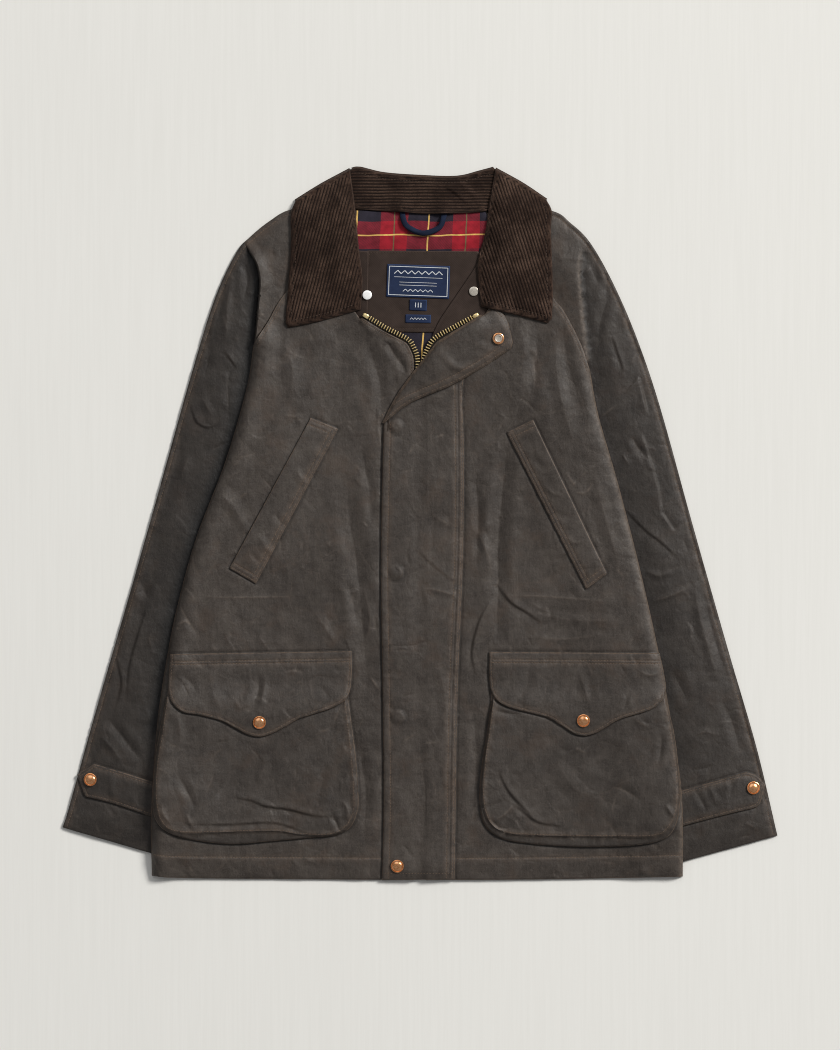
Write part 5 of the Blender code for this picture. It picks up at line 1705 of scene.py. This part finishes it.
def storm_flap(pile, seams):
    """The storm flap's long layer; its turned corner is laid after the pockets."""
    sewn = through(FLAP_SEWN[:5], 20)
    lines = [beside(sewn, 2.4), beside(sewn, 9.0), beside(through(FLAP_FREE, 20), 7.5)]
    edges = [[FLAP_FREE[-1], FLAP_SEWN[0]], FLAP_SEWN, FLAP_FOLD, FLAP_FREE]
    grooves = [beside(through(CORNER_EDGE, 6), -1.0), beside(sewn, 0.8), beside(sewn, 5.6)]
    main = Layer(edges, BODY_NET, DOUBLE_CLOTH, seams=lines, grooves=grooves, name="storm_flap", worn=81)
    main.relief += 0.9 * limpness(main.points, 80)
    main.crease()
    main.relief += 0.4 * bell(main.away(through(FLAP_FREE, 8)), 8)
    for x, y in HIDDEN_SNAPS:
        away = np.linalg.norm(main.points - (x, y), axis=1)
        main.relief += 1.8 * (1 - past(away, 5.0, 4.0))
        main.relief -= 0.5 * bell(away - 8.5, 2.0)
        main.mark += 0.2 * bell(away - 7.0, 1.4)
        # Painted shade in a ring just outside each snap's bump
        main.painted_shade += 0.35 * bell(away - 8.8, 1.6)
    for number, line in enumerate(lines):
        main.pucker(line, 5, 0.16, 82 + number)
    pile.lay(main, loft=1.2, rise=16, reach=3, drape=5, edge_radius=1.7)
    stitch_all(seams, pile, lines)
    seams.stitches(pile, [(-40, HEM_Y + 8), (38, HEM_Y + 8)])
    return main


def turned_corner(pile, main, seams):
    """The storm flap's top corner, turned back over it, and the whole flap as one strip."""
    edge = through(CORNER_EDGE, 6)
    lines = [beside(edge, 2.6), beside(edge, 8.5), beside(through(CORNER_END[:3], 4), 3.0)]
    corner = Layer([FLAP_FOLD, CORNER_EDGE, CORNER_END], POCKET_NET, DOUBLE_CLOTH, seams=lines)
    corner.relief += 0.6 * limpness(corner.points, 90)
    for points, depth in CORNER_RIDGES:
        height, mark = crease_relief(corner.points, [Crease(points, depth, 6, 1, 0.3)])
        corner.relief += height
        corner.mark += mark
    corner.skin -= 0.5 * (1 - past(corner.depth, 1, 2))
    pile.lay(corner, loft=2.0, rise=22, reach=3, drape=4, edge_radius=1.7)
    stitch_all(seams, pile, lines)
    cloth("storm_flap", "body", [main, corner], [(0, 1, through(FLAP_FOLD, POCKET_NET))],
          rests_on=["front_left", "front_right"])


def welts(pile, seams):
    """The slanting chest pockets' welts, sewn along the side towards the hem and at both ends."""
    for side, half in HALVES.items():
        first, foot, second, head = (through(edge, 6) for edge in half.welt)
        free, sewn = (second, first) if half.sign > 0 else (first, second)
        lines = [beside(line, distance) for line, distance in
                 ((sewn, 2.4), (sewn, 6.5), (foot, 2.2), (foot, 7.5), (head, 2.2), (head, 7.5))]
        piece = Layer(half.welt, WELT_NET, WELT_CLOTH, grain=WELT_GRAIN * half.sign, seams=lines,
                      name=f"welt_{side}")
        piece.relief += 0.4 * limpness(piece.points, half.welt_seed)
        piece.crease()
        piece.relief += 0.25 * bell(piece.away(free), 9)
        pile.lay(piece, loft=0.4, rise=12, reach=2, drape=4, edge_radius=1.3)
        cloth(f"welt_{side}", "body", [piece], rests_on=[f"front_{side}"])
        stitch_all(seams, pile, lines)


def pockets(pile, seams):
    """Bellows pockets and their flaps."""
    for side, half in HALVES.items():
        pocket_bag(pile, seams, side, half)
        pocket_flap(pile, seams, side, half)


def pocket_bag(pile, seams, side, half):
    """A bag whose face ends in a raised seam, with the gusset lower outside it and the mouth flat."""
    face, seed = through(half.face, 5), half.pocket_seed
    piece = Layer(half.bag, POCKET_NET, CLOTH + GUSSET_STACK, seams=[half.face],
                  grooves=[beside(through(half.flap[1], 5), -0.9)], name=f"pocket_{side}", worn=seed + 7)
    away = piece.away(face)
    gusset = np.where(inside(piece.points, face), 0.0, past(away, 0.8, 2.0))
    piece.skin += 0.7 * bell(away, 1.6) - 1.7 * gusset
    piece.skin += 1.1 * limpness(piece.points, seed) + 0.9
    height, mark = crease_relief(piece.points, piece.creases)
    piece.skin += height
    piece.mark += mark
    # Painted shade: the whole bag a little darker, and its low gusset more
    piece.painted_shade = np.maximum(piece.painted_shade, 0.16 + 0.10 * gusset)
    piece.pucker(half.face, 9, 0.55, seed + 1)
    piece.skin -= (CLOTH + GUSSET_STACK - BAG_MOUTH) * past(piece.points[:, 1], *POCKET_MOUTH)
    pile.lay(piece, reach=3, drape=5, edge_radius=2.0)
    cloth(f"pocket_{side}", "body", [piece], rests_on=[f"front_{side}"])
    seams.stitches(pile, face)


def pocket_flap(pile, seams, side, half):
    """A pointed flap, sewn on by two rows of stitches and edged by one."""
    top, low = (through(edge, 5) for edge in half.flap)
    seed = half.pocket_seed
    lines = [beside(top, 8.5), beside(top, 11.5), beside(low, 2.8)]
    cover = Layer(half.flap, POCKET_NET, DOUBLE_CLOTH, seams=lines, name=f"pocket_flap_{side}", worn=seed + 8)
    cover.relief += 0.55 * limpness(cover.points, seed + 4)
    cover.crease()
    cover.pucker(lines[0], 8, 0.40, seed + 6)
    cover.relief += 0.3 * bell(cover.away(low), 7)
    # Painted shade: the whole flap a little darker
    cover.painted_shade[:] = 0.09
    pile.lay(cover, loft=1.4, rise=26, reach=3, drape=5, edge_radius=1.6)
    cloth(f"pocket_flap_{side}", "body", [cover], rests_on=[f"pocket_{side}"])
    stitch_all(seams, pile, lines)


def wale_skin(layer, grain, seed):
    """Corduroy wales along the grain, as ridges in the layer's top."""
    turn = math.radians(grain)
    across = layer.points @ np.array([math.cos(turn), math.sin(turn)])
    across = across + 0.35 * noise(layer.points, 18, seed)
    layer.wale = np.abs(np.sin(np.pi * across / WALE_PITCH)) ** 0.8
    layer.skin += WALE_HEIGHT * (layer.wale - 0.6)


def collar_fall(pile):
    """The hidden layer of the collar, under the stand and along the neck."""
    edges = [ROLL, [ROLL[-1], TURN_RIGHT[0]], TURN_RIGHT, FALL_EDGE, TURN_LEFT, [TURN_LEFT[-1], ROLL[0]]]
    fall = Layer(edges, CORDUROY_NET, CORDUROY, grain=90.0, across=2 * WALE_NET)
    return pile.lay(fall, drape=1, edge_radius=1.8)


def collar_stand(pile, dark_seams):
    """The stand, seen inside the neck, stitched along the roll."""
    ends = [ROLL[-1], (-86, 378), (-88, 350), STAND_SEAM[0]], [STAND_SEAM[-1], (92, 352), (91, 378), ROLL[0]]
    stand = Layer([ROLL, ends[0], STAND_SEAM, ends[1]], CORDUROY_NET, CORDUROY, grain=90.0, across=WALE_NET,
                  name="stand")
    stand.relief += 0.7 * limpness(stand.points, 150)
    stand.crease()
    stand.roll(ROLL, 9, 2.5)
    wale_skin(stand, 90.0, 151)
    stand.wale *= 0.78
    border = beside(through(ROLL, 5), 6.0)[1:-1]
    stand.skin -= 0.8 * bell(stand.away(border), 1.3)
    pile.lay(stand, loft=1.6, rise=15, reach=3, drape=4, edge_radius=1.8)
    dark_seams.stitches(pile, border, 0.25)
    return stand


def collar_wing(pile, dark_seams, side, wing):
    """One wing of the collar, laid over the front."""
    piece = Layer(wing.edges, CORDUROY_NET, CORDUROY, grain=wing.grain, across=WALE_NET,
                  name=f"collar_{side}")
    piece.relief += 0.9 * limpness(piece.points, wing.seed)
    piece.crease()
    piece.roll(wing.roll, 12, 4.5)
    wale_skin(piece, wing.grain, wing.seed)
    borders = [beside(through(wing.bottom, 5), 7.0)[1:-1], beside(through(wing.outer, 5), 6.0)[2:-1]]
    for border, depth in zip(borders, (1.0, 0.6)):
        piece.skin -= depth * bell(piece.away(border), 1.3)
    pile.lay(piece, loft=3.6, rise=24, reach=4, drape=6, edge_radius=2.2)
    for border in borders:
        dark_seams.stitches(pile, border, 0.25)
    return piece


def collar(pile, fall, stand, dark_seams):
    """Both wings, laid over the fronts, and the whole collar as one strip."""
    wings = [collar_wing(pile, dark_seams, side, wing) for side, wing in WINGS.items()]
    turns = enumerate((ROLL, TURN_RIGHT, TURN_LEFT), 1)
    folds = [(0, number, through(line, CORDUROY_NET)) for number, line in turns]
    cloth("collar", "corduroy", [fall, stand, *wings], folds, slot="corduroy", rests_on=["back"])


def snap(pile, name, place, profile, look, nodes=(), z=None, over=SNAP_RADIUS, lift=0.05, lean=SNAP_RADIUS):
    """One part of a snap, turned from its profile and leaning with the cloth, and the height it is at.

    It stands on the highest cloth within over of its place, and leans with the cloth within lean of it.
    """
    x, y = place
    z = pile.highest(x, y, over) + lift if z is None else z
    mesh = leaning(turned(name, profile), x, y, z, slope(pile, x, y, lean))
    register(name, mesh, look, nodes, "copper" if look == "copper" else "nickel")
    return z


def snaps(pile):
    """Copper caps with a plain rim, the ring socket on the turned corner and the small nickel neck snaps."""
    for name, place in SNAPS.items():
        snap(pile, name, place, CAP_PROFILE, "copper", [name], lift=-0.5)
    ring = "snap_collar_corner"
    z = snap(pile, ring, RING_SNAP, RING_PROFILE, "copper", [ring], over=5, lean=6)
    snap(pile, "snap_collar_socket", RING_SNAP, SOCKET_PROFILE, "nickel", z=z, lean=6)
    for name, place in NECK_SNAPS.items():
        # The neck snap on the wearer's right is given the pale copy of the nickel: a painted highlight
        look = "nickel_glare" if place[0] < 0 else "nickel"
        z = snap(pile, name, place, NECK_SNAP_PROFILE, look, [name], over=4.5, lean=5)
        pile.raise_disc(*place, NECK_SNAP_RADIUS, z + 2.0)


def finish_cad():
    """Give what stays of the CAD its finish."""
    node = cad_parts["zip_slider"]
    for slot in node.material_slots:
        slot.material = LOOKS["brass"]


# ---- stage, light and camera ----

WORLD_LIGHT = 0.31
WINDOW = (-0.25, 0.62, 0.74)  # the way to a paler patch of the studio, which the metal mirrors
WINDOW_RANGE = (("From Min", 0.86), ("From Max", 0.95), ("To Min", 0.79), ("To Max", 3.2))
KEY_PLACE, KEY_SIZE = (10.1, 7.45, 9.37), 4.8  # m
KEY_POWER, KEY_COLOUR = 2660.0, (1.0, 0.985, 0.96)  # W
CAMERA_HEIGHT, VIEW_HEIGHT = 4.0, 1.155  # m: from the floor, and of the floor that is seen
SENSOR = 36.0  # mm
FLOOR_SIZE, FLOOR_BELOW = 8.0, 0.0004  # m


def stage():
    bpy.ops.mesh.primitive_plane_add(size=FLOOR_SIZE, location=(0, 0, -FLOOR_BELOW))
    floor = bpy.context.object
    floor.name = "floor"
    floor.data.materials.append(floor_paper())


def key_light():
    """A round window high on the wearer's left, past the collar."""
    data = bpy.data.lights.new("key", "AREA")
    data.shape = "DISK"
    data.size = KEY_SIZE
    data.energy = KEY_POWER
    data.color = KEY_COLOUR
    light = bpy.data.objects.new("key", data)
    light.location = KEY_PLACE
    light.rotation_euler = (-Vector(KEY_PLACE)).to_track_quat("-Z", "Y").to_euler()
    bpy.context.scene.collection.objects.link(light)


def studio():
    """An even grey world with one paler patch."""
    world = bpy.data.worlds.new("studio")
    world.use_nodes = True
    nodes, links = world.node_tree.nodes, world.node_tree.links
    background = nodes["Background"]
    background.inputs["Strength"].default_value = WORLD_LIGHT
    direction = nodes.new("ShaderNodeTexCoord").outputs["Generated"]
    towards = nodes.new("ShaderNodeVectorMath")
    towards.operation = "DOT_PRODUCT"
    links.new(direction, towards.inputs[0])
    towards.inputs[1].default_value = Vector(WINDOW).normalized()
    pane = nodes.new("ShaderNodeMapRange")
    pane.interpolation_type = "SMOOTHSTEP"
    links.new(towards.outputs["Value"], pane.inputs["Value"])
    for key, value in WINDOW_RANGE:
        pane.inputs[key].default_value = value
    grey = nodes.new("ShaderNodeVectorMath")
    grey.operation = "SCALE"
    grey.inputs[0].default_value = (0.97, 0.98, 1.0)
    links.new(pane.outputs[0], grey.inputs["Scale"])
    links.new(grey.outputs[0], background.inputs["Color"])
    bpy.context.scene.world = world


def camera():
    """Straight down, from far enough away to be nearly parallel."""
    data = bpy.data.cameras.new("camera")
    data.sensor_fit = "VERTICAL"
    data.sensor_height = SENSOR
    data.lens = SENSOR * CAMERA_HEIGHT / VIEW_HEIGHT
    eye = bpy.data.objects.new("camera", data)
    eye.location = (0.0, -0.0005, CAMERA_HEIGHT)
    scene = bpy.context.scene
    scene.collection.objects.link(eye)
    scene.camera = eye
    scene.view_settings.view_transform = "Standard"
    scene.cycles.filter_width = 1.0  # px: sharper than the default filter


def main():
    pile = Pile()
    seams, dark_seams = Bars(), Bars()
    fall = collar_fall(pile)
    sleeves(pile, seams)
    back_panel(pile)
    neck_inside(pile, dark_seams)
    stand = collar_stand(pile, dark_seams)
    front_edges(pile)
    fronts(pile, seams)
    main_flap = storm_flap(pile, seams)
    welts(pile, seams)
    pockets(pile, seams)
    turned_corner(pile, main_flap, seams)
    snaps(pile)
    collar(pile, fall, stand, dark_seams)
    seams.finish("stitching", "thread", "waxed_cotton")
    dark_seams.finish("stitching_patch", "dark_thread", "brown_twill")
    finish_cad()
    stage()
    key_light()
    studio()
    camera()


main()
